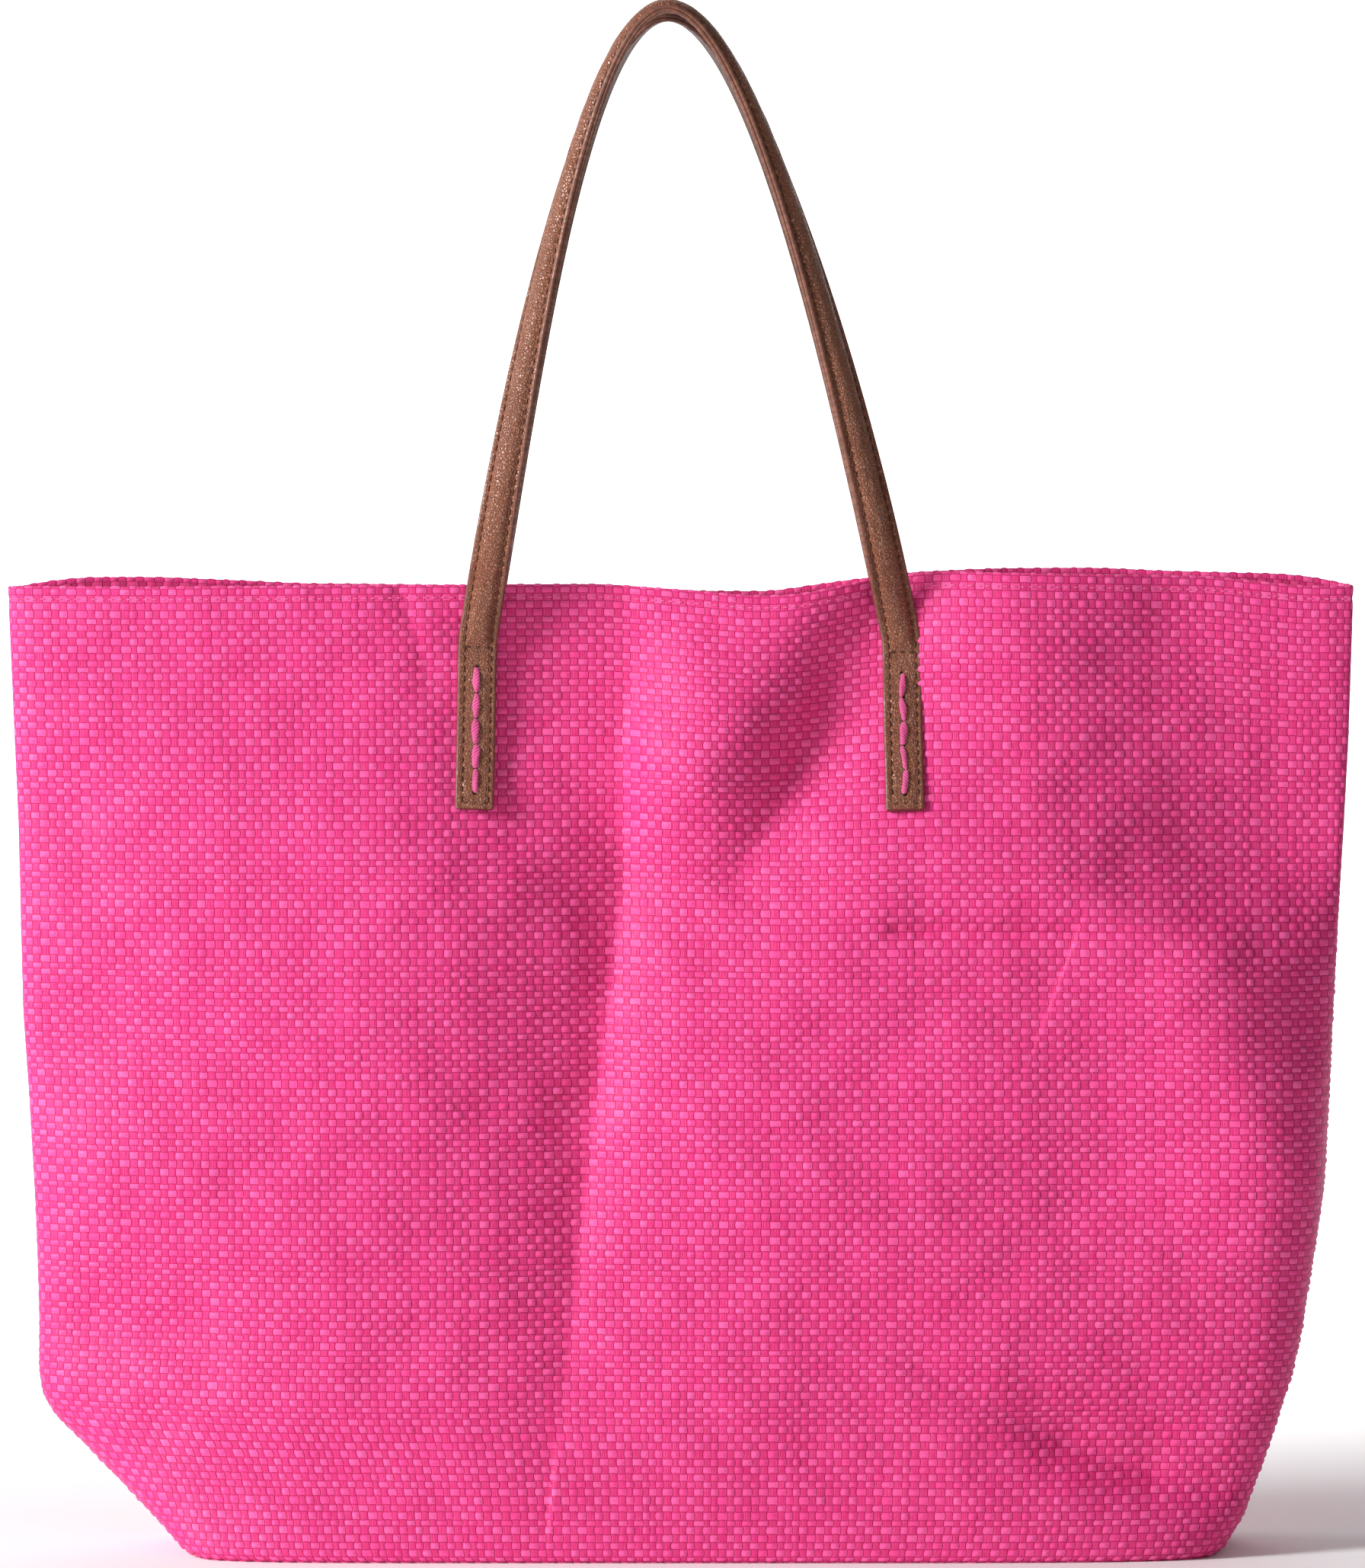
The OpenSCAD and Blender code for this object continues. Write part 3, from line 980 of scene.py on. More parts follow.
    def _ply(self) -> bpy.types.NodeTree:
        """Twisted thread: slanting plies with fine fibres.

        Returns:
            The group. Its Place input is in millimetres along and round the thread.
        """
        kit, given, out = self._start(
            "thread ply", [("Place", "NodeSocketVector", None), ("Plies per mm", "NodeSocketFloat", 1.2)],
            [("Groove", "NodeSocketFloat"), ("Fibre", "NodeSocketFloat"), ("Height", "NodeSocketFloat")])
        place = kit.times(given.outputs[0], given.outputs[1])
        a, b = kit.split(place)
        slant = kit.math("ADD", kit.math("MULTIPLY", a, 2.6), kit.math("MULTIPLY", b, 2.2))
        wave = kit.math("ABSOLUTE", kit.math("SINE", slant))
        fibre = kit.noise(kit.scaled(place, (1.2, 8.0, 1.0)), 1.0, 3.0, 0.6)
        height = kit.math("ADD", wave, kit.math("MULTIPLY", fibre, 0.35))
        return kit.give(out, Groove=kit.ramp(wave, 0.45, 0.0), Fibre=fibre, Height=height)

    def _tone(self) -> bpy.types.NodeTree:
        """Slow drift of colour over a whole surface, from handling and dye.

        Returns:
            The group. Its Place input is in metres.
        """
        kit, given, out = self._start(
            "dye drift", [("Place", "NodeSocketVector", None), ("Patches per metre", "NodeSocketFloat", 9.0)],
            [("Drift", "NodeSocketFloat"), ("Speck", "NodeSocketFloat")])
        drift = kit.node("ShaderNodeTexNoise")
        kit.feed(drift.inputs["Vector"], given.outputs[0])
        kit.feed(drift.inputs["Scale"], given.outputs[1])
        drift.inputs["Detail"].default_value = 3.0
        speck = kit.noise(given.outputs[0], 420.0, 2.0, 0.5)
        clouds = kit.ramp(drift.outputs["Fac"], 0.3, 0.7)
        return kit.give(out, Drift=clouds, Speck=kit.ramp(speck, 0.68, 0.82))


def linear(colour: Colour) -> Colour:
    """Screen colour (0..255) as linear light.

    Args:
        colour: Red, green and blue.

    Returns:
        The linear colour.
    """
    return tuple(((c / 255 + 0.055) / 1.055) ** 2.4 if c > 10 else c / 255 / 12.92 for c in colour)


@dataclass(frozen=True)
class Finish:
    """What every finish shares.

    Attributes:
        name: Name of the material.
        base: Main screen colour.
        dark: Colour of the painted shade in gaps, grooves and between threads, and of creases and drift.
        light: Colour of lighter random tones and worn places, and of the painted sheen along strands.
        rough: Roughness.
        bump: Height of the bump, in millimetres.
        sheen: Weight of the soft fabric sheen.
        specular: Specular level.
    """

    name: str
    base: Colour
    dark: Colour
    light: Colour
    rough: float = 0.6
    bump: float = 0.1
    sheen: float = 0.0
    specular: float = 0.5

    def _open(self) -> tuple[NodeKit, bpy.types.Node, bpy.types.Material]:
        """Makes the material with its shader.
        """
        material = bpy.data.materials.new(self.name)
        material.use_nodes = True
        material.node_tree.nodes.clear()
        material.diffuse_color = (*linear(self.base), 1.0)
        kit = NodeKit(material.node_tree)
        shader = kit.node("ShaderNodeBsdfPrincipled")
        output = kit.node("ShaderNodeOutputMaterial")
        kit.feed(output.inputs[0], shader.outputs[0])
        shader.inputs["Sheen Weight"].default_value = self.sheen
        shader.inputs["Sheen Roughness"].default_value = 0.45
        shader.inputs["Specular IOR Level"].default_value = self.specular
        return kit, shader, material

    def _group(self, kit: NodeKit, group: bpy.types.NodeTree, place: object,
               amount: float | None = None) -> Sequence[Socket]:
        """Places a shared group in the material.

        Args:
            kit: The material's kit.
            group: The group.
            place: What feeds its Place input.
            amount: Value of its second input, where it has one.

        Returns:
            Its outputs.
        """
        made = kit.node("ShaderNodeGroup")
        made.node_tree = group
        kit.feed(made.inputs[0], place)
        if amount is not None:
            made.inputs[1].default_value = amount
        return made.outputs

    def _relief(self, kit: NodeKit, shader: bpy.types.Node, height: object) -> None:
        """Feeds a height to the shader's normal through a Bump node.

        Args:
            kit: The material's kit.
            shader: The shader.
            height: The height.
        """
        bump = kit.node("ShaderNodeBump")
        bump.inputs["Strength"].default_value = 1.0
        bump.inputs["Distance"].default_value = self.bump * MM
        kit.feed(bump.inputs["Height"], height)
        kit.feed(shader.inputs["Normal"], bump.outputs[0])

    def _places(self, kit: NodeKit) -> tuple[object, object]:
        """Adds the two coordinate nodes.

        Args:
            kit: The material's kit.

        Returns:
            The place in the pattern, and the place on the object.
        """
        cloth = kit.node("ShaderNodeUVMap", uv_map="cloth")
        where = kit.node("ShaderNodeTexCoord")
        return cloth.outputs[0], where.outputs["Object"]


@dataclass(frozen=True)
class WovenFinish(Finish):
    """Woven straw-look cloth, with raised floats and recessed, split warp ribbons.

    Attributes:
        warp: Screen colour of the warp ribbons, darker than the floats as painted shade in their recess.
        fleck: Linear colour of the frayed flecks.
    """

    warp: Colour = (205, 45, 118)
    fleck: Colour = (0.93, 0.50, 0.72)

    def build(self, shelf: GroupShelf) -> bpy.types.Material:
        """Builds the material.

        Args:
            shelf: The shared groups.

        Returns:
            The material.
        """
        kit, shader, material = self._open()
        cloth, where = self._places(kit)
        weave = self._group(kit, shelf.weave, cloth)
        tone = self._group(kit, shelf.tone, where, 9.0)
        base, dark, light = linear(self.base), linear(self.dark), linear(self.light)
        ribbon = kit.mix(kit.ramp(weave["Tone"], 0.0, 1.0, 0.0, 0.44, False), base, light)
        # the recessed warp ribbons take a darker colour: painted shade
        warp = kit.mix(kit.ramp(weave["Tone"], 0.0, 1.0, 0.0, 0.4, False), linear(self.warp), base)
        colour = kit.mix(weave["Float"], warp, ribbon)
        # painted sheen: the raised strand lines are lighter, like a highlight along the ribbons
        colour = kit.mix(kit.ramp(weave["Lines"], 0.35, 0.68, 0.0, 0.34), colour, light)
        # painted shade darkens the gaps between the ribbons
        colour = kit.mix(kit.math("MULTIPLY", weave["Gap"], 0.86), colour, dark)
        colour = kit.mix(kit.math("MULTIPLY", weave["Fleck"], 0.55), colour, self.fleck)
        colour = kit.mix(kit.math("MULTIPLY", tone["Drift"], 0.10), colour, dark)
        kit.feed(shader.inputs["Base Color"], colour)
        rough = kit.ramp(weave["Lines"], 0.2, 0.8, self.rough + 0.12, self.rough - 0.12)
        kit.feed(shader.inputs["Roughness"], rough)
        self._relief(kit, shader, weave["Height"])
        return material


@dataclass(frozen=True)
class ThreadedFinish(Finish):
    """Fine woven cloth or tape.

    Attributes:
        per_mm: Threads in a millimetre.
    """

    per_mm: float = 1.6

    def build(self, shelf: GroupShelf) -> bpy.types.Material:
        """Builds the material.

        Args:
            shelf: The shared groups.

        Returns:
            The material.
        """
        kit, shader, material = self._open()
        cloth, where = self._places(kit)
        threads = self._group(kit, shelf.threads, cloth, self.per_mm)
        tone = self._group(kit, shelf.tone, where, 12.0)
        base, dark, light = linear(self.base), linear(self.dark), linear(self.light)
        colour = kit.mix(kit.math("MULTIPLY", threads["Weft"], 0.5), base, light)
        # painted shade between the threads, darker where they dip
        colour = kit.mix(kit.ramp(threads["Height"], 0.35, 0.0, 0.0, 0.6), colour, dark)
        colour = kit.mix(kit.ramp(threads["Slub"], 0.55, 0.75, 0.0, 0.3), colour, dark)
        colour = kit.mix(kit.math("MULTIPLY", tone["Drift"], 0.16), colour, dark)
        kit.feed(shader.inputs["Base Color"], colour)
        rough = kit.ramp(threads["Slub"], 0.2, 0.8, self.rough, self.rough + 0.12)
        kit.feed(shader.inputs["Roughness"], rough)
        self._relief(kit, shader, threads["Height"])
        return material


@dataclass(frozen=True)
class LeatherFinish(Finish):
    """Dyed leather-look strap material, grained or smooth.

    Attributes:
        pebbles: Pebbles of the grain in a millimetre.
        worn: Share of the light colour where it is worn.
    """

    pebbles: float = 1.5
    worn: float = 0.5

    def build(self, shelf: GroupShelf) -> bpy.types.Material:
        """Builds the material.

        Args:
            shelf: The shared groups.

        Returns:
            The material.
        """
        kit, shader, material = self._open()
        cloth, where = self._places(kit)
        grain = self._group(kit, shelf.grain, cloth, self.pebbles)
        tone = self._group(kit, shelf.tone, where, 26.0)
        base, dark, light = linear(self.base), linear(self.dark), linear(self.light)
        colour = kit.mix(kit.ramp(grain["Cloud"], 0.3, 0.7, 0.0, self.worn), base, light)
        colour = kit.mix(kit.math("MULTIPLY", grain["Crease"], 0.5), colour, dark)
        colour = kit.mix(kit.math("MULTIPLY", tone["Drift"], 0.09), colour, dark)
        colour = kit.mix(kit.math("MULTIPLY", tone["Speck"], 0.18), colour, light)
        kit.feed(shader.inputs["Base Color"], colour)
        rough = kit.ramp(grain["Crease"], 0.0, 1.0, self.rough, self.rough + 0.22)
        kit.feed(shader.inputs["Roughness"], rough)
        self._relief(kit, shader, grain["Height"])
        return material


@dataclass(frozen=True)
class TwistFinish(Finish):
    """Sewing thread or yarn.

    Attributes:
        plies: Plies in a millimetre.
    """

    plies: float = 1.2

    def build(self, shelf: GroupShelf) -> bpy.types.Material:
        """Builds the material.

        Args:
            shelf: The shared groups.

        Returns:
            The material.
        """
        kit, shader, material = self._open()
        cloth, where = self._places(kit)
        ply = self._group(kit, shelf.ply, cloth, self.plies)
        tone = self._group(kit, shelf.tone, where, 60.0)
        base, dark, light = linear(self.base), linear(self.dark), linear(self.light)
        colour = kit.mix(kit.ramp(ply["Fibre"], 0.4, 0.7, 0.0, 0.6), base, light)
        # painted shade in the grooves between the plies
        colour = kit.mix(kit.math("MULTIPLY", ply["Groove"], 0.6), colour, dark)
        colour = kit.mix(kit.math("MULTIPLY", tone["Drift"], 0.25), colour, dark)
        kit.feed(shader.inputs["Base Color"], colour)
        rough = kit.ramp(ply["Fibre"], 0.2, 0.8, self.rough - 0.06, self.rough + 0.08)
        kit.feed(shader.inputs["Roughness"], rough)
        self._relief(kit, shader, ply["Height"])
        return material


class Wardrobe:
    """Every finish of the tote, built once."""

    def __init__(self) -> None:
        """Builds the groups and then the materials."""
        shelf = GroupShelf()
        self.woven = WovenFinish("woven cloth", (241, 58, 138), (172, 8, 78), (255, 120, 186), rough=0.50,
                                 bump=0.55, specular=0.22, warp=(224, 34, 116)).build(shelf)
        # the facing uses the woven cloth's colours made darker: painted shade inside the mouth
        self.facing = WovenFinish("facing cloth", (226, 48, 124), (140, 6, 62), (246, 104, 168), rough=0.55,
                                  bump=0.5, specular=0.2, warp=(200, 28, 100)).build(shelf)
        self.lining = ThreadedFinish("lining cotton", (226, 212, 194), (170, 150, 128), (244, 236, 222),
                                     rough=0.82, bump=0.08, sheen=0.25, specular=0.25).build(shelf)
        self.tape = ThreadedFinish("binding tape", (212, 178, 160), (150, 112, 96), (234, 208, 192),
                                   rough=0.75, bump=0.12, sheen=0.2, specular=0.3, per_mm=1.1).build(shelf)
        self.canvas = ThreadedFinish("reinforcement canvas", (204, 186, 158), (142, 122, 96), (226, 212, 188),
                                     rough=0.85, bump=0.16, sheen=0.2, specular=0.25, per_mm=0.9).build(shelf)
        self.padding = ThreadedFinish("padding felt", (226, 216, 200), (180, 168, 150), (240, 232, 220),
                                      rough=0.92, bump=0.2, sheen=0.3, specular=0.2, per_mm=0.7).build(shelf)
        self.face = LeatherFinish("strap leather", (150, 87, 58), (74, 36, 20), (196, 138, 106),
                                  rough=0.36, bump=0.42, specular=0.6, pebbles=1.1, worn=0.22).build(shelf)
        self.back = LeatherFinish("backing leather", (108, 66, 50), (54, 29, 20), (146, 100, 80),
                                  rough=0.50, bump=0.12, specular=0.4, pebbles=2.0).build(shelf)
        self.paint = LeatherFinish("painted edge", (122, 72, 54), (74, 40, 29), (150, 98, 78),
                                   rough=0.34, bump=0.02, specular=0.5, pebbles=0.5, worn=0.4).build(shelf)
        self.rust = TwistFinish("strap thread", (90, 42, 22), (40, 16, 8), (128, 68, 40),
                                rough=0.55, bump=0.06, sheen=0.1, specular=0.4, plies=2.4).build(shelf)
        self.rim = TwistFinish("rim thread", (240, 96, 160), (180, 40, 100), (255, 160, 205),
                               rough=0.6, bump=0.05, sheen=0.1, specular=0.35, plies=2.4).build(shelf)
        self.yarn = TwistFinish("lacing yarn", (232, 76, 146), (140, 18, 74), (252, 150, 200),
                                rough=0.62, bump=0.24, sheen=0.3, specular=0.3, plies=1.0).build(shelf)
        # darker leather in the stitch grooves: painted shade in the recess
        self.groove = LeatherFinish("stitch groove", (132, 76, 50), (66, 32, 18), (160, 104, 76),
                                    rough=0.5, bump=0.08, specular=0.3, pebbles=2.2).build(shelf)
        # dark leather for the discs that paint the shade of the punched holes
        self.hole = LeatherFinish("punched hole", (44, 24, 20), (20, 10, 8), (60, 34, 28),
                                  rough=0.85, bump=0.03, specular=0.1).build(shelf)


@dataclass
class Weaver:
    """Lays ribbons of cloth on a surface: irregular columns and rows, with raised floats.

    Attributes:
        shape: The tote's surface.
        column: Pitch of the columns.
        row: Pitch of the rows.
        parts: Mesh steps in a cell.
        float_rise: Height of a float over the cloth's mean face.
        warp_rise: Height of a warp ribbon.
    """

    shape: ToteShape
    column: float = 3.33
    row: float = 2.83
    parts: int = 4
    float_rise: float = 0.55
    warp_rise: float = 0.17

    def lines(self, start: float, end: float, pitch: float, seed: int) -> Grid:
        """Places of the ribbon edges, each pitch a little different.

        Args:
            start: First edge.
            end: Last edge.
            pitch: Mean spacing.
            seed: Seed of the variation.

        Returns:
            The edges.
        """
        count = max(2, round((end - start) / pitch))
        widths = 1 + 0.13 * np.random.default_rng(seed).standard_normal(count).clip(-1.6, 1.6)
        edges = np.concatenate([[0], np.cumsum(widths)])
        return start + (end - start) * edges / edges[-1]

    def field(self, s_edges: Grid, t_edges: Grid, seed: int) -> tuple[Grid, Grid, Grid, Grid]:
        """Places, pattern and relief of every mesh point of a woven sheet.

        Args:
            s_edges: Ribbon edges along the cloth.
            t_edges: Ribbon edges up the cloth.
            seed: Seed of the variation.

        Returns:
            Places along, places up, pattern places, and relief in millimetres.
        """
        n = self.parts
        a = np.arange((len(s_edges) - 1) * n + 1) / n
        b = np.arange((len(t_edges) - 1) * n + 1) / n
        rng = np.random.default_rng(seed)
        i = np.minimum(a.astype(int), len(s_edges) - 2)
        j = np.minimum(b.astype(int), len(t_edges) - 2)
        fa, fb = (a - i)[None, :], (b - j)[:, None]
        jitter = 0.05 * rng.standard_normal((len(t_edges), len(s_edges))).clip(-2, 2)
        s = np.interp(a, np.arange(len(s_edges)), s_edges)[None, :]
        t = np.interp(b, np.arange(len(t_edges)), t_edges)[:, None]
        inside = ((a > 0.01) & (a < len(s_edges) - 1.01)).astype(float)[None, :]
        widen = -0.075 * np.cos(np.pi * (a[None, :] + j[:, None])) * np.sin(np.pi * fb)
        near = np.minimum(np.round(a).astype(int), len(s_edges) - 1)
        wander = jitter[j][:, near] * np.sin(np.pi * fb) * np.abs(np.cos(np.pi * a))[None, :]
        s = s + self.column * (widen + wander) * inside
        slide = 0.05 * np.cos(np.pi * (b[:, None] + i[None, :])) * np.sin(np.pi * fa)
        level = ((b > 0.01) & (b < len(t_edges) - 1.01)).astype(float)[:, None]
        t = t + self.row * slide * level
        heights = 1 + 0.24 * rng.standard_normal((len(t_edges), len(s_edges))).clip(-1.8, 1.8)
        tilt = 0.30 * rng.standard_normal((len(t_edges), len(s_edges))).clip(-1.8, 1.8)
        is_float = ((i[None, :] + j[:, None]) % 2) == 0
        arch = np.sin(np.pi * fa).clip(0, 1)
        dome = np.sin(np.pi * fb).clip(0, 1)
        cell = heights[j][:, i]
        lean = 1 + tilt[j][:, i] * (fb - 0.5)
        top = self.float_rise * arch**0.62 * dome**0.40 * cell * lean
        low = self.warp_rise * dome**0.6 * arch**0.35 * (2 - cell)
        relief = np.where(is_float, top, low) - 0.12
        cloth = np.dstack(np.broadcast_arrays(a[None, :], b[:, None]))
        return np.broadcast_to(s, relief.shape), np.broadcast_to(t, relief.shape), cloth, relief


@dataclass
class ClothBody:
    """The soft body: two woven panels, their facings and linings, tapes, patches and topstitching.

    Attributes:
        shape: The tote's surface.
        tailor: Maker of pieces.
        wardrobe: The finishes.
        cloth: Thickness of the woven cloth.
        facing_depth: Depth of the facing below the rim.
        roll: Radius of the turned rim.
        turn_in: How far the turned cloth runs down inside.
        binding_width: Width of the tapes.
        stitch_drop: Distance of the topstitching below the rim.
        base_half: Half the length of the flat base.
        tab_places: X of the left and right tabs.
        stitch_pitch: Pitch of the topstitching.
        tab_bottom: Height of the lower end of a tab.
    """

    shape: ToteShape
    tailor: Tailor
    wardrobe: Wardrobe
    cloth: float = 1.2
    facing_depth: float = 42.0
    roll: float = 0.8
    turn_in: float = 6.0
    binding_width: float = 12.0
    stitch_drop: float = 4.8
    stitch_pitch: float = 3.4
    tab_places: tuple[float, float] = (-81.0, 88.0)
    tab_bottom: float = 292.5

    def build(self) -> None:
        """Builds every piece of the body."""
        for side in Side:
            self.panel(side)
            self.inner_cloth(side)
            self.lining(side)
            self.topstitching(side)
            for hand, x in zip(Hand, self.tab_places):
                self.reinforcement(side, hand, x)
        for hand in Hand:
            self.seam_tape(hand)
            self.corner_tape(hand)
        self.base_tape()

    def panel(self, side: Side) -> None:
        """Builds a panel: wall, turned rim and base flap in one woven sheet.

        Args:
            side: Which wall.
        """
        shape = self.shape
        weaver = Weaver(shape, parts=4)
        seed = 5 if side is Side.FRONT else 6
        s_edges = weaver.lines(-265, 265, weaver.column, seed)
        t_edges = weaver.lines(0.0, shape.top - self.roll, weaver.row, seed + 10)
        s, t, cloth, relief = weaver.field(s_edges, t_edges, seed)
        pinch = np.clip(1 - (np.abs(s) / 265.0) ** 60, 0.0, 1)
        points, normals = shape.place(side, s, t)
        stitch_line = 1 - 0.75 * bell(t, shape.top - self.stitch_drop, 0.8)
        relief = relief * pinch * stitch_line - 0.35 * bell(t, shape.top - self.stitch_drop, 1.1)
        wall = points + normals * relief[..., None]
        # the rim turns over and runs down inside
        edge, out = points[-1], normals[-1].copy()
        out[:, 2] = 0
        out = unit(out)
        out[0], out[-1] = (-1, 0, 0), (1, 0, 0)
        up = np.array([0, 0, 1.0])
        across = cloth[-1, :, 0]
        start = cloth[-1, 0, 1]
        extra, marks = [], []
        for k in range(1, 15):
            b = k / 4
            share = np.where((np.floor(across) + int(start) + math.floor(b)) % 2 == 0, 1.0, 0.3)
            bump = 0.42 * share * np.abs(np.sin(np.pi * across)) ** 0.5 * abs(math.sin(math.pi * b)) ** 0.5
            if k <= 6:
                angle = math.pi * k / 6
                base = edge - out * (self.roll * (1 - math.cos(angle))) + up * (self.roll * math.sin(angle))
                way = out * math.cos(angle) + up * math.sin(angle)
            else:
                base = edge - out * (2 * self.roll) - up * (self.turn_in * (k - 6) / 8)
                way = -out
            squeeze = np.clip(1 - (np.abs(s[-1]) / self.shape.cloth_half) ** 60, 0, 1)
            squeeze = squeeze * (0.0 if k > 12 else 1.0)
            extra.append(base + way * (bump * squeeze)[:, None])
            marks.append(np.stack([across, np.full_like(across, start + b)], 1))
        whole = np.concatenate([wall, np.array(extra)])
        pattern = np.concatenate([cloth, np.array(marks)])
        sheet = Patch.from_grid(whole, pattern, flip=side is Side.BACK)
        flap = self.flap(side, points[0], cloth[0])
        name = f"{side.word}_woven_panel"
        thing = self.tailor.finish(name, Patch.joined([sheet, flap]), [self.wardrobe.woven], "woven_cloth",
                                   [f"{side.word}_panel"])

    def flap(self, side: Side, edge: Grid, cloth: Grid) -> Patch:
        """The half of the base that belongs to a panel, woven like the wall.

        Args:
            side: Which wall.
            edge: Points along the wall's lower edge.
            cloth: Pattern places along it.

        Returns:
            The flap.
        """
        x, y = edge[:, 0], np.abs(edge[:, 1])
        deep = float(y.max())
        rows = 23 * 2 + 1
        shares = np.linspace(1, 0, rows)
        points, marks = [], []
        ends = x[np.abs(np.gradient(y)) < 0.6 * np.abs(np.gradient(x)) + 1e-6]
        low, high = float(ends.min()), float(ends.max())
        for k, share in enumerate(shares):
            level = deep * share
            left_edge = np.interp(level, y[: len(y) // 2], x[: len(x) // 2])
            right_edge = np.interp(level, y[len(y) // 2:][::-1], x[len(x) // 2:][::-1])
            frac = np.clip((x - low) / (high - low), 0, 1)
            px = left_edge + (right_edge - left_edge) * frac
            b = -k / 2
            parity = (np.floor(cloth[:, 0]) + math.floor(b)) % 2 == 0
            bump = np.where(parity, 0.34, 0.1) * abs(math.sin(math.pi * (b + 0.25)))
            sink = 0.42 - bump * np.abs(np.sin(np.pi * cloth[:, 0])) ** 0.6
            sink = sink * ease(np.array(min(1.0, k / 2)))
            if k == 0:
                points.append(np.stack([x, edge[:, 1], edge[:, 2]], 1))
            else:
                points.append(np.stack([px, side.value * np.full_like(px, level), np.maximum(sink, 0.02)], 1))
            marks.append(np.stack([cloth[:, 0], cloth[:, 1] + b], 1))
        return Patch.from_grid(np.array(points), np.array(marks), flip=side is Side.FRONT)

    def inner_cloth(self, side: Side) -> None:
        """Builds the facing: a band of the same weave inside the rim, in darker colours that paint the shade
        inside the mouth.

        Args:
            side: Which wall.
        """
        shape = self.shape
        weaver = Weaver(shape, parts=3)
        s_edges = weaver.lines(-264.4, 264.4, weaver.column, 41)
        t_edges = weaver.lines(shape.top - self.facing_depth, shape.top - 1.6, weaver.row, 42)
        s, t, cloth, relief = weaver.field(s_edges, t_edges, 43 + side.value)
        points, normals = shape.place(side, s, t)
        near = np.clip((np.abs(s) - 255) / 10, 0, 1)
        deep = 2.4 * (1 - 0.4 * near)
        face = points - normals * (deep + relief * 0.8 * (1 - near))[..., None]
        least = 0.15 + 0.05 * np.abs(s) / shape.cloth_half
        face[..., 1] = side.value * np.maximum(side.value * face[..., 1], least)
        hem = face[:1] + normals[:1] * 1.0 + np.array([0, 0, -0.3])
        thing = self.tailor.finish(
            f"{side.word}_facing_band",
            Patch.from_grid(np.concatenate([hem, face]), np.concatenate([cloth[:1] - (0, 0.3), cloth]),
                            flip=side is Side.FRONT),
            [self.wardrobe.facing], "facing_cloth", [f"{side.word}_facing"])

    def lining(self, side: Side) -> None:
        """Builds the lining: a loose cotton bag inside the woven cloth, with fine wrinkles.

        Args:
            side: Which wall.
        """
        shape = self.shape
        s = np.linspace(-264.5, 264.5, 266)[None, :]
        t = np.linspace(3.0, shape.top - self.facing_depth + 1.4, 172)[:, None]
        s, t = np.broadcast_arrays(s, t)
        points, normals = shape.place(side, s, t)
        wrinkle = (0.7 * Undulation(71 + side.value, 34).at(s, t * 0.6)
                   + 0.35 * Undulation(75 + side.value, 13).at(s, t * 0.5))
        near = np.clip(1 - (np.abs(s) / 264.0) ** 14, 0, 1) * ease((shape.top - self.facing_depth - t) / 14)
        inset = 3.3 * (1 - 0.35 * np.clip((np.abs(s) - 250) / 15, 0, 1))
        deep = inset + np.maximum(wrinkle, -1.1) * near + 0.8 * near
        face = points - normals * deep[..., None]
        face[..., 1] = side.value * np.maximum(side.value * face[..., 1], 0.12)
        face[..., 2] = np.maximum(face[..., 2], 3.4)
        base_rows = []
        low = face[0]
        for share in np.linspace(0.96, 0.0, 30):
            row = low.copy()
            row[:, 1] = low[:, 1] * share + side.value * 0.12 * (1 - share)
            row[:, 0] = low[:, 0] * (1 - 0.012 * (1 - share))
            ripple = 1 + Undulation(81, 30).at(row[:, 0], row[:, 1])
            row[:, 2] = 3.4 + 0.35 * ripple * math.sin(math.pi * share)
            base_rows.append(row)
        points_all = np.concatenate([np.array(base_rows[::-1]), face])
        rows = np.arange(points_all.shape[0])[:, None] * 2.1
        cloth = np.dstack(np.broadcast_arrays(s[:1], rows))
        thing = self.tailor.finish(f"{side.word}_lining_cotton",
                                   Patch.from_grid(points_all, cloth, flip=side is Side.FRONT),
                                   [self.wardrobe.lining], "lining_cloth", [f"{side.word}_lining"])

    def topstitching(self, side: Side) -> None:
        """Builds the row of stitches below the rim.

        Args:
            side: Which wall.
        """
        places = np.arange(-262, 262.5, self.stitch_pitch)
        level = np.full_like(places, self.shape.top - self.stitch_drop)
        reach = self.stitch_pitch * 0.36
        a, normal = self.shape.place(side, places - reach, level)
        b, _ = self.shape.place(side, places + reach, level)
        stitches = [capsule(p - n * 0.30, q - n * 0.30, n, 0.30, 0.28, 6, 6)
                    for p, q, n in zip(a, b, normal)]
        self.tailor.finish(f"{side.word}_rim_topstitching", Patch.joined(stitches), [self.wardrobe.rim],
                           "rim_thread", [f"{side.word}_rim_stitching"])

    def inner_patch(self, side: Side, x: Grid, z: Grid, deep: float, thick: float) -> Patch:
        """A thin patch between the woven cloth and the lining.

        Args:
            side: Which wall.
            x: Rows by columns of places across.
            z: Rows by columns of heights, falling from row to row.
            deep: Its distance in from the outer face.
            thick: Its thickness.

        Returns:
            The patch.
        """
        wall = self.shape.wall(side, x, z)
        outer = np.dstack([x, side.value * (wall - deep), z])
        inner = np.dstack([x, side.value * (wall - deep - thick), z])
        ring = np.concatenate([outer, inner[:, ::-1]], 1)
        cloth = np.dstack([np.concatenate([x, x[:, ::-1]], 1), np.concatenate([z, z[:, ::-1]], 1)])
        return Patch.from_grid(ring, cloth, closed=True, flip=side is Side.BACK)

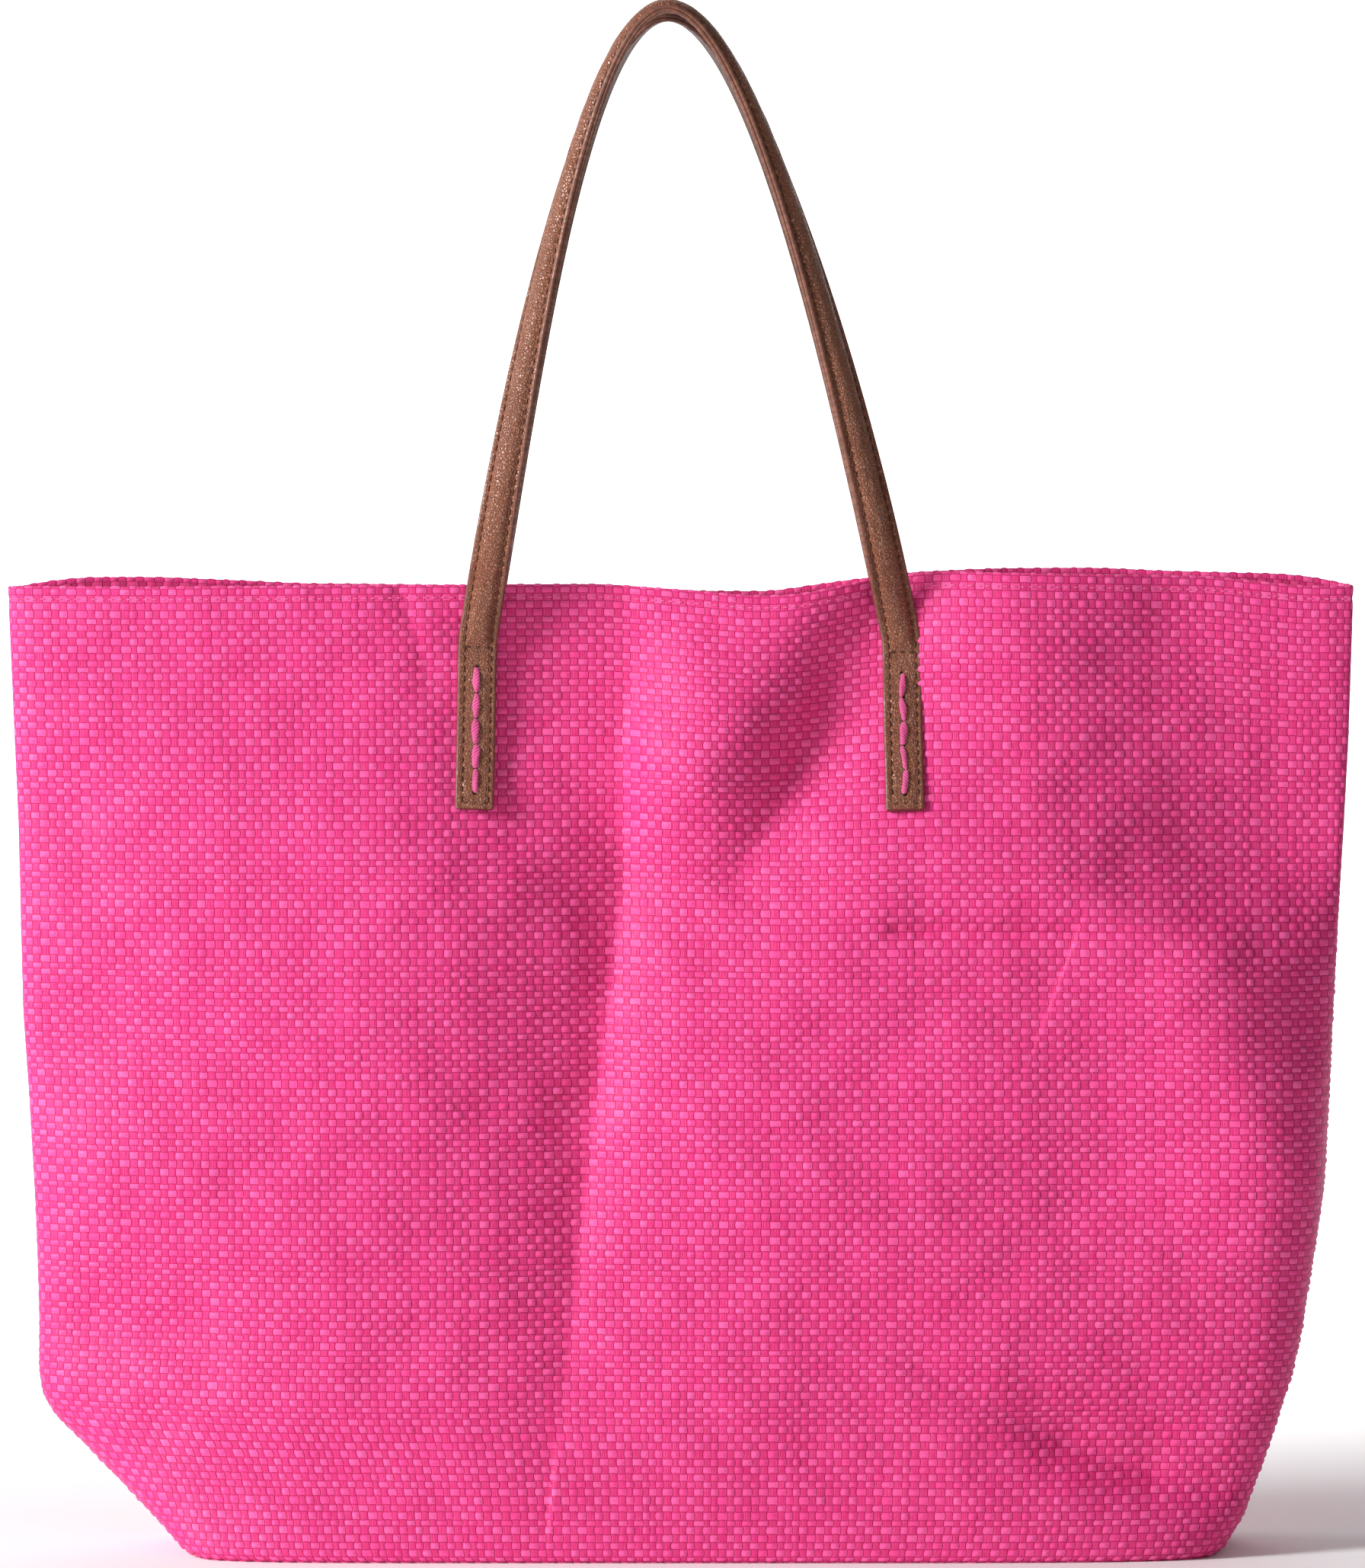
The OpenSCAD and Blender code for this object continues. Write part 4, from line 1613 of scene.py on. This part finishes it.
    def reinforcement(self, side: Side, hand: Hand, x: float) -> None:
        """Builds the canvas patch behind a tab.

        Args:
            side: Which wall.
            hand: Which tab.
            x: Place of the tab.
        """
        top = self.shape.height - self.facing_depth - 1.5
        xs, zs = np.meshgrid(x + np.linspace(-14, 14, 15), np.linspace(top, self.tab_bottom - 3, 26))
        patch = self.inner_patch(side, xs, zs, 2.1, 0.3)
        self.tailor.finish(f"{side.word}_{hand.word}_canvas_patch", patch, [self.wardrobe.canvas],
                           "reinforcement_cloth", [f"{side.word}_{hand.word}_reinforcement"])

    def seam_tape(self, hand: Hand) -> None:
        """Builds the tape over a side seam, inside the cloth.

        Args:
            hand: Which seam.
        """
        rows = []
        for t in np.linspace(self.shape.top - self.facing_depth - 2, 34, 120):
            row = []
            for side, steps in ((Side.FRONT, (5.0, 2.6, 1.0)), (Side.BACK, (1.0, 2.6, 5.0))):
                s = hand.value * (self.shape.cloth_half - np.array(steps))
                points, normals = self.shape.place(side, s, np.full(3, t))
                inset = 2.0 + 0.1 * np.sin(t * 2.2)
                row += list(points - normals * inset)
            rows.append(row)
        points = np.array(rows)
        inner = points - np.array([hand.value * 0.4, 0, 0])
        ring = np.concatenate([points, inner[:, ::-1]], 1)
        u = np.concatenate([np.linspace(0, 12, 6), np.linspace(12, 0, 6)])
        cloth = np.dstack(np.broadcast_arrays(u[None, :], (np.arange(120) * 2.5)[:, None]))
        tape = Patch.from_grid(ring, cloth, closed=True, flip=hand is Hand.RIGHT)
        self.tailor.finish(f"{hand.word}_seam_tape", tape, [self.wardrobe.tape], "binding_tape",
                           [f"{hand.word}_seam_binding"])

    def flat_tape(self, centre: tuple[float, float, float], length: float, along_x: bool) -> Patch:
        """A flat tape that lies on the base, with slightly raised edges.

        Args:
            centre: Middle of the tape.
            length: Its length.
            along_x: True if it runs along X.

        Returns:
            The tape.
        """
        run = np.linspace(-length / 2, length / 2, max(8, int(length / 3)))
        across = np.linspace(-self.binding_width / 2, self.binding_width / 2, 9)
        a, c = np.meshgrid(run, across, indexing="ij")
        lift = 0.12 * np.sin(a * 2.1) * 0.3 + 0.10 * (np.abs(c) > 5)
        x, y = (a, c) if along_x else (c, a)
        top = np.dstack([centre[0] + x, centre[1] + y, centre[2] + 0.3 + lift])
        low = np.dstack([centre[0] + x, centre[1] + y, np.full_like(x, centre[2])])
        ring = np.concatenate([top, low[:, ::-1]], 1)
        cloth = np.dstack([np.concatenate([a, a[:, ::-1]], 1), np.concatenate([c, c[:, ::-1]], 1)])
        return Patch.from_grid(ring, cloth, closed=True, flip=along_x)

    def corner_tape(self, hand: Hand) -> None:
        """Builds the tape over a boxed corner seam.

        Args:
            hand: Which corner.
        """
        low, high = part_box(f"{hand.word}_corner_binding")
        middle = (low + high) / 2 / MM
        patch = self.flat_tape((middle.x, 0, low.z / MM), (high.y - low.y) / MM, False)
        self.tailor.finish(f"{hand.word}_corner_tape", patch, [self.wardrobe.tape], "binding_tape",
                           [f"{hand.word}_corner_binding"])

    def base_tape(self) -> None:
        """Builds the tape over the seam in the middle of the base."""
        low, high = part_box("base_seam_binding")
        patch = self.flat_tape((0, 0, low.z / MM), (high.x - low.x) / MM, True)
        self.tailor.finish("base_seam_binding_tape", patch, [self.wardrobe.tape], "binding_tape",
                           ["base_seam_binding"])


@dataclass
class Handle:
    """One strap handle: two sewn tabs on the wall and a padded strap that arches between them.

    Attributes:
        side: Which wall it is on.
        shape: The tote's surface.
        tailor: Maker of pieces.
        wardrobe: The finishes.
        rise: Height of the handle above the rim.
        width: Width of the strap.
        leather: Thickness of one layer.
        pad: Height of the padding roll.
        inset: Distance of the stitching from the edges.
        tabs: X of the left and right tabs.
        tab_top: Height of the line of cross stitches.
        tab_bottom: Height of the lower end of a tab.
        lean: How far the top leans sideways.
        apex_gap: Depth of the middle line at the top, from the tote's middle plane.
        foot_gap: Depth of the middle line where the arch leaves the tabs.
        stitch_pitch: Pitch of the stitches along the strap.
        centre: Points of the middle line.
        out: Directions out of the face, one at each point.
        across: Directions across the strap, one at each point.
        run: Distances of the points along the line.
    """

    side: Side
    shape: ToteShape
    tailor: Tailor
    wardrobe: Wardrobe
    rise: float
    width: float = 15.0
    leather: float = 1.6
    pad: float = 1.8
    inset: float = 2.3
    tabs: tuple[float, float] = (-81.0, 88.0)
    tab_top: float = 357.0
    tab_bottom: float = 292.5
    lean: float = -5.0
    apex_gap: float = 8.7
    foot_gap: float = 21.75
    stitch_pitch: float = 4.0
    centre: Grid = field(default_factory=lambda: np.zeros((0, 3)))
    out: Grid = field(default_factory=lambda: np.zeros((0, 3)))
    across: Grid = field(default_factory=lambda: np.zeros((0, 3)))
    run: Grid = field(default_factory=lambda: np.zeros(0))

    def build(self) -> None:
        """Builds every piece of the handle."""
        self.lay_line()
        self.skins()
        self.padding()
        self.stitching()
        for hand in Hand:
            self.lacing(hand)

    def lay_line(self) -> None:
        """Lays the strap's middle line from the foot of one tab over the top to the other foot."""
        pieces, outs = [], []
        lift = self.leather + 0.15
        top = self.shape.height + self.rise - self.leather
        span = top - (self.tab_top + 0.6)
        for hand, tab in zip(Hand, self.tabs):
            toe = tab + 0.6 * -hand.value
            zs = np.linspace(self.tab_bottom, self.tab_top + 1.2, 80)
            xs = toe - hand.value * 0.6 * (zs - (self.tab_top + self.tab_bottom) / 2) / 32.25
            ys = self.shape.wall(self.side, xs, zs) + lift
            tab_line = np.stack([xs, self.side.value * ys, zs], 1)
            foot = tab - hand.value * 1.2
            reach = foot - self.lean
            p = np.array([[foot, self.foot_gap, self.tab_top + 1.4],
                          [self.lean + reach * 0.8, self.foot_gap, self.tab_top + 0.6 + span * 0.38],
                          [self.lean + hand.value * 33, self.apex_gap, top], [self.lean, self.apex_gap, top]])
            u = np.linspace(0.004, 1, 420)[:, None]
            v = 1 - u
            arch = p[0] * v**3 + 3 * p[1] * u * v**2 + 3 * p[2] * u**2 * v + p[3] * u**3
            arch[:, 1] *= self.side.value
            turn = np.radians(90 * (0.75 * np.sin(np.radians(90 * u[:, 0])) + 0.25 * u[:, 0]))
            settle = ease((arch[:, 2] - self.tab_top) / 46)
            wall = self.side.value * (self.shape.wall(self.side, np.clip(arch[:, 0], -199, 199),
                                                      np.minimum(arch[:, 2], 379)) + lift + 0.4)
            shelf = np.where(arch[:, 2] < 384, wall, wall[np.argmin(np.abs(arch[:, 2] - 384))])
            arch[:, 1] = shelf * (1 - settle) + arch[:, 1] * settle
            line = np.concatenate([tab_line[:-1], arch[1:]])
            twist = np.concatenate([np.zeros(len(tab_line) - 1), turn[1:]])
            if hand is Hand.RIGHT:
                line, twist = line[::-1], twist[::-1]
                line, twist = line[1:], twist[1:]
            pieces.append(line)
            outs.append(twist)
        line, twist = np.concatenate(pieces), np.concatenate(outs)
        for _ in range(6):
            line[1:-1] = 0.25 * line[:-2] + 0.5 * line[1:-1] + 0.25 * line[2:]
            twist[1:-1] = 0.25 * twist[:-2] + 0.5 * twist[1:-1] + 0.25 * twist[2:]
        length = np.concatenate([[0], np.cumsum(np.linalg.norm(np.diff(line, axis=0), axis=1))])
        self.run = np.linspace(0, length[-1], int(length[-1] / 0.9))
        self.centre = np.stack([np.interp(self.run, length, line[:, k]) for k in range(3)], 1)
        angle = np.interp(self.run, length, twist)
        heading = unit(np.gradient(self.centre, axis=0))
        y = np.array([0, float(self.side.value), 0])
        flat = unit(y - heading * (heading @ y)[:, None])
        sideways = np.cross(flat, heading) if self.side is Side.FRONT else np.cross(heading, flat)
        # the left leg turns its face to the left and the right leg to the right, and both face up at the top
        self.out = flat * np.cos(angle)[:, None] + sideways * np.sin(angle)[:, None]
        self.across = np.cross(heading, self.out) if self.side is Side.FRONT else np.cross(self.out, heading)

    def surface(self, run: Grid, w: Grid, n: Grid) -> Grid:
        """Points on the strap.

        Args:
            run: Places along the strap.
            w: Distances across it.
            n: Distances out from its middle plane.

        Returns:
            The points.
        """
        def read(values: Grid) -> Grid:
            """Values of the line at the places."""
            return np.stack([np.interp(run, self.run, values[:, k]) for k in range(3)], -1)
        return read(self.centre) + read(self.across) * w[..., None] + read(self.out) * n[..., None]

    def pad_rise(self, run: Grid, w: Grid) -> Grid:
        """Height of the padding roll under the face.

        Args:
            run: Places along the strap.
            w: Distances across it.

        Returns:
            The heights.
        """
        half = self.width / 2 - self.inset - 0.55
        end = self.tab_top - self.tab_bottom
        from_end = np.minimum(run, self.run[-1] - run) - end
        roll = np.clip(1 - (w / half) ** 2, 0, 1) ** 0.6
        return self.pad * roll * ease(from_end / 7 + 0.12) + 0.32 * np.clip(1 - (w / half) ** 4, 0, 1)

    def skins(self) -> None:
        """Builds the face and the backing, each one skin from foot to foot."""
        half, row = self.width / 2, self.width / 2 - self.inset
        crown = np.linspace(-row + 0.75, row - 0.75, 15)
        face = np.concatenate([[-half + 1.4, -row - 0.36, -row, -row + 0.36], crown,
                               [row - 0.36, row, row + 0.36, half - 1.4]])
        run = self.run
        wrinkles = Undulation(91 + self.side.value, 9)
        word = self.side.word
        faces = [f"{word}_strap_face"] + [f"{word}_{hand.word}_tab_face" for hand in Hand]
        backings = [f"{word}_strap_backing"] + [f"{word}_{hand.word}_tab_backing" for hand in Hand]
        for outward, name, material, nodes, slot in (
                (1, "strap_face_leather", self.wardrobe.face, faces, "strap_leather"),
                (-1, "strap_backing_leather", self.wardrobe.back, backings, "backing_leather")):
            edge = [(-half, 0.05), (-half - 0.12, 0.45), (-half - 0.10, 0.95), (-half + 0.12, 1.34),
                    (-half + 0.5, 1.56), (-half + 0.9, 1.62)]
            mirrored = [(-w, n) for w, n in edge[::-1]]
            under = [(half - 0.6, 0.05), (-half + 0.6, 0.05)]
            columns = edge + [(w, None) for w in face] + mirrored + under
            w = np.array([c[0] for c in columns])
            grid_w = np.broadcast_to(w[None, :], (len(run), len(w))).copy()
            grid_run = np.broadcast_to(run[:, None], grid_w.shape)
            surface = np.full(grid_w.shape, self.leather)
            if outward > 0:
                groove = bell(np.abs(grid_w), row, 0.34)
                surface = surface + self.pad_rise(grid_run, grid_w) - 0.22 * groove
                surface += 0.05 * wrinkles.at(grid_run * 0.7, grid_w * 2.5) * (np.abs(grid_w) < row)
                end = self.tab_top - self.tab_bottom
                for place in (end, self.run[-1] - end):
                    surface -= 0.30 * bell(grid_run, place, 0.6) * (np.abs(grid_w) < row - 0.2)
                for place in (self.inset, self.run[-1] - self.inset):
                    surface -= 0.20 * bell(grid_run, place, 0.4) * (np.abs(grid_w) < row)
            n = np.array([[-1.0 if c[1] is None else c[1] for c in columns]])
            n = np.where(n < 0, surface, np.broadcast_to(n, surface.shape))
            ends = np.minimum(run, run[-1] - run)
            shrink = 1 - np.clip(1 - ends / 0.8, 0, 1)[:, None] ** 2 * 0.06
            points = self.surface(grid_run, grid_w * shrink, outward * n)
            flip = (outward > 0) == (self.side is Side.BACK)
            sleeve = Patch.from_grid(points, np.dstack([grid_w, grid_run]), closed=True, flip=not flip)
            cells = np.arange(len(w))
            far_edge = (cells >= len(columns) - 2 - len(edge)) & (cells < len(columns) - 3)
            painted = (cells < len(edge) - 1) | far_edge
            number = painted.astype(int)
            middle_w = (np.abs(w) + np.abs(np.roll(w, -1))) / 2
            # the groove cells take the darker groove finish, painted shade along the stitch rows
            in_groove = (np.abs(middle_w - row) < 0.30) & ~painted & (cells < len(w) - 3)
            number[in_groove] = 2 if outward > 0 else 0
            sleeve.paint = np.tile(number, len(run) - 1)
            caps = []
            for index, reverse in ((0, False), (len(run) - 1, True)):
                ring = points[index]
                middle = ring.mean(0)
                inner = np.stack([ring, np.broadcast_to(middle, ring.shape)])
                place = np.dstack([np.broadcast_to(w, (2, len(w))), np.zeros((2, len(w)))])
                cap = Patch.from_grid(inner, place, closed=True, flip=reverse != (not flip))
                caps.append(cap.painted(1))
            materials = [material, self.wardrobe.paint, self.wardrobe.groove]
            skin = Patch.joined([sleeve] + caps)
            thing = self.tailor.finish(f"{word}_{name}", skin, materials, slot, nodes, None)
            self.bend(thing)

    def bend(self, thing: bpy.types.Object) -> None:
        """Bakes the piece's placement into its mesh.

        Args:
            thing: The piece.
        """
        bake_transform(thing)

    def padding(self) -> None:
        """Builds the padding roll between the face and the backing."""
        end = self.tab_top - self.tab_bottom + 12
        run = np.linspace(end, self.run[-1] - end, 420)
        half = self.width / 2 - self.inset - 0.9
        angle = np.linspace(0, 2 * np.pi, 16, endpoint=False)
        w = np.broadcast_to(half * np.cos(angle)[None, :], (len(run), 16))
        taper = np.sqrt(np.clip(np.minimum(run - end, self.run[-1] - end - run) / 4, 0.02, 1))[:, None]
        n = 0.9 + 0.72 * np.sin(angle)[None, :] * (1 + 0.1 * np.sin(run * 0.8))[:, None] * taper
        grid_run = np.broadcast_to(run[:, None], w.shape)
        points = self.surface(grid_run, w * taper, np.broadcast_to(n, w.shape))
        cloth = np.dstack(np.broadcast_arrays((angle * 3)[None, :], run[:, None]))
        roll = Patch.from_grid(points, cloth, closed=True, flip=self.side is Side.FRONT)
        thing = self.tailor.finish(f"{self.side.word}_strap_padding", roll, [self.wardrobe.padding],
                                   "padding", [f"{self.side.word}_strap_core"],
                                   f"{self.side.word}_handle")

    def stitching(self) -> None:
        """Builds the two rows of stitches, the foot rows and the rows across the tab tops."""
        row = self.width / 2 - self.inset
        rng = np.random.default_rng(17 + self.side.value)
        end = self.tab_top - self.tab_bottom
        stitches: list[Patch] = []

        def sew(run_a: float, w_a: float, run_b: float, w_b: float) -> None:
            """Adds one stitch between two places on the face.

            Args:
                run_a: Distance of its start along the strap.
                w_a: Distance of its start across it.
                run_b: Distance of its end along the strap.
                w_b: Distance of its end across it.
            """
            run = np.array([run_a, run_b])
            w = np.array([w_a, w_b])
            a, b = self.surface(run, w, np.full(2, self.leather - 0.10))
            middle = 0.5 * (run_a + run_b)
            lift = unit(np.stack([np.interp(middle, self.run, self.out[:, k]) for k in range(3)]))
            stitches.append(capsule(a, b, lift, 0.38, 0.24, 7, 8, 0.10))

        for w in (-row, row):
            for place in np.arange(self.inset + 1.4, self.run[-1] - self.inset - 1, self.stitch_pitch):
                wobble = 0.05 * rng.standard_normal(3)
                sew(place - 1.35 + wobble[0], w + wobble[1] - 0.10, place + 1.35, w + wobble[2] + 0.10)
        for place in (self.inset, self.run[-1] - self.inset, end, self.run[-1] - end):
            for w in (-3.6, 0.0, 3.6):
                wobble = 0.06 * rng.standard_normal(2)
                sew(place + wobble[0], w - 1.35, place + wobble[1], w + 1.35)
        nodes = [f"{self.side.word}_strap_stitching"]
        nodes += [f"{self.side.word}_{hand.word}_tab_stitching" for hand in Hand]
        thing = self.tailor.finish(f"{self.side.word}_strap_stitches", Patch.joined(stitches),
                                   [self.wardrobe.rust], "strap_thread", nodes, None)
        self.bend(thing)

    def lacing(self, hand: Hand) -> None:
        """Builds the yarn stitches that lace a tab to the cloth, with dark discs of painted shade for the
        punched holes between them.

        Args:
            hand: Which tab.
        """
        rng = np.random.default_rng(60 + hand.value + 3 * self.side.value)
        stitches, holes = [], []
        pitch = (self.tab_top - self.tab_bottom - 14) / 5
        weave_side = 0.45 if hand is Hand.RIGHT else 0.12
        level = self.leather + 0.32
        edges = [6.0 + pitch * k for k in range(6)]
        for k in range(5):
            a, b = edges[k] + 0.12, edges[k + 1] - 0.12
            places = np.linspace(a, b, 22)
            if hand is Hand.RIGHT:
                places = self.run[-1] - places
            t = np.linspace(0, 1, 22)
            full = 1.36 * (1 + 0.16 * rng.standard_normal())
            plump = 0.42 + 0.58 * np.clip(np.sin(np.pi * t), 0, 1) ** 0.42
            width = full * plump * (1 + 0.10 * np.sin(t * 9 + k))
            slant = weave_side * rng.uniform(0.6, 1.4) * (t - 0.5) * (1 if k % 2 else -1) * 2
            slant = slant + 0.12 * rng.standard_normal()
            angle = np.linspace(0, 2 * np.pi, 18, endpoint=False)
            plies = 1 + 0.10 * np.cos(3 * angle[None, :] + (t * 7)[:, None])
            w = slant[:, None] + width[:, None] * np.cos(angle)[None, :] * plies
            rise = (0.55 * np.sin(np.pi * t) ** 0.5)[:, None]
            n = level + 0.15 + rise + 0.62 * width[:, None] * np.sin(angle)[None, :] * plies - 0.35
            points = self.surface(np.broadcast_to(places[:, None], w.shape), w, n)
            cloth = np.dstack(np.broadcast_arrays((t * pitch)[:, None], (angle * 1.2)[None, :]))
            stitches.append(Patch.from_grid(points, cloth, closed=True,
                                            flip=(hand is Hand.LEFT) == (self.side is Side.FRONT)))
        # each punched hole is a dark disc laid on the face: painted shade, with no real hole cut
        for edge in edges:
            place = edge if hand is Hand.LEFT else self.run[-1] - edge
            angle = np.linspace(0, 2 * np.pi, 16, endpoint=False)
            radii = np.array([0.0, 0.45, 0.82, 1.0])[:, None]
            w = 0.95 * radii * np.cos(angle)[None, :]
            along = place + 0.95 * radii * np.sin(angle)[None, :]
            n = level + np.array([0.05, 0.05, 0.04, -0.05])[:, None] + 0 * w
            cloth = np.dstack([w, along - place])
            holes.append(Patch.from_grid(self.surface(along, w, n), cloth, closed=True,
                                         flip=self.side is Side.BACK).painted(1))
        patch = Patch.joined([s.painted(0) for s in stitches] + holes)
        self.tailor.finish(f"{self.side.word}_{hand.word}_yarn_lacing", patch,
                           [self.wardrobe.yarn, self.wardrobe.hole], "yarn",
                           [f"{self.side.word}_{hand.word}_lacing"])


@dataclass
class Studio:
    """Plain floor, soft lights and the camera.

    Attributes:
        reach: Distance of the camera from its target.
        height: Height of the target.
        tilt: Elevation of the camera, in degrees.
    """

    reach: float = 5.0
    height: float = 0.3024
    tilt: float = 3.0

    def build(self) -> None:
        """Builds the whole studio."""
        self.camera()
        self.floor()
        self.lights()

    def camera(self) -> None:
        """Places the camera in front of the tote."""
        data = bpy.data.cameras.new("studio_camera")
        data.sensor_width = 36
        data.lens = 292.5
        thing = bpy.data.objects.new("studio_camera", data)
        bpy.context.scene.collection.objects.link(thing)
        target = Vector((0.0007, -0.02, self.height))
        angle = math.radians(self.tilt)
        back = Vector((0, -math.cos(angle), math.sin(angle)))
        thing.location = target + back * self.reach
        thing.rotation_euler = (-back).to_track_quat("-Z", "Y").to_euler()
        bpy.context.scene.camera = thing

    def floor(self) -> None:
        """Makes a pale floor that curves up far behind the tote."""
        curve = np.linspace(0.1, math.pi / 2, 16)
        y = np.concatenate([np.linspace(-6, 3, 10), 3 + 1.5 * np.sin(curve), [4.5, 4.5]])
        z = np.concatenate([np.zeros(10), 1.5 - 1.5 * np.cos(curve), [3.0, 6.0]])
        xs = np.linspace(-7, 7, 8)
        points = np.dstack(np.broadcast_arrays(xs[None, :], y[:, None], z[:, None])) / MM
        thing = Tailor().piece("studio_floor", Patch.from_grid(points, points[..., :2] * MM), [self.paper()])

    @staticmethod
    def paper() -> bpy.types.Material:
        """Matt pale paper for the floor.

        Returns:
            The material.
        """
        material = bpy.data.materials.new("studio paper")
        material.use_nodes = True
        shader = material.node_tree.nodes["Principled BSDF"]
        shader.inputs["Base Color"].default_value = (0.93, 0.93, 0.93, 1)
        shader.inputs["Roughness"].default_value = 0.9
        shader.inputs["Specular IOR Level"].default_value = 0.1
        return material

    def lights(self) -> None:
        """Adds a broad key light from the left, two fills, and a white surround."""
        scene = bpy.context.scene
        world = bpy.data.worlds.new("studio_world")
        scene.world = world
        world.use_nodes = True
        kit = NodeKit(world.node_tree)
        world.node_tree.nodes["Background"].inputs[0].default_value = (1, 1, 1, 1)
        seen = kit.node("ShaderNodeLightPath").outputs["Is Camera Ray"]
        kit.feed(world.node_tree.nodes["Background"].inputs[1], kit.ramp(seen, 0, 1, 0.14, 0.96, False))
        for name, place, aim, size, power in (
                ("key_light", (-3.15, -1.6, 1.6), (0, 0, 0.22), 1.25, 186),
                ("front_fill", (0.6, -3.4, 1.1), (0, 0, 0.25), 1.6, 14),
                ("left_rim", (-2.2, 0.8, 1.3), (0, 0, 0.35), 1.4, 16),
                ("backdrop_light", (0, 1.6, 2.6), (0, 4.4, 1.0), 2.4, 190)):
            data = bpy.data.lights.new(name, "AREA")
            data.size = size
            data.energy = power
            lamp = bpy.data.objects.new(name, data)
            scene.collection.objects.link(lamp)
            lamp.location = place
            lamp.rotation_euler = (Vector(aim) - Vector(place)).to_track_quat("-Z", "Y").to_euler()
        scene.view_settings.view_transform = "Standard"


def main() -> None:
    logging.basicConfig(level=logging.INFO, format="%(message)s")
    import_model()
    shape = ToteShape()
    tailor = Tailor()
    wardrobe = Wardrobe()
    Studio().build()
    ClothBody(shape, tailor, wardrobe).build()
    for side, rise in ((Side.FRONT, 228.0), (Side.BACK, 224.5)):
        Handle(side, shape, tailor, wardrobe, rise).build()


if __name__ == "__main__":
    main()
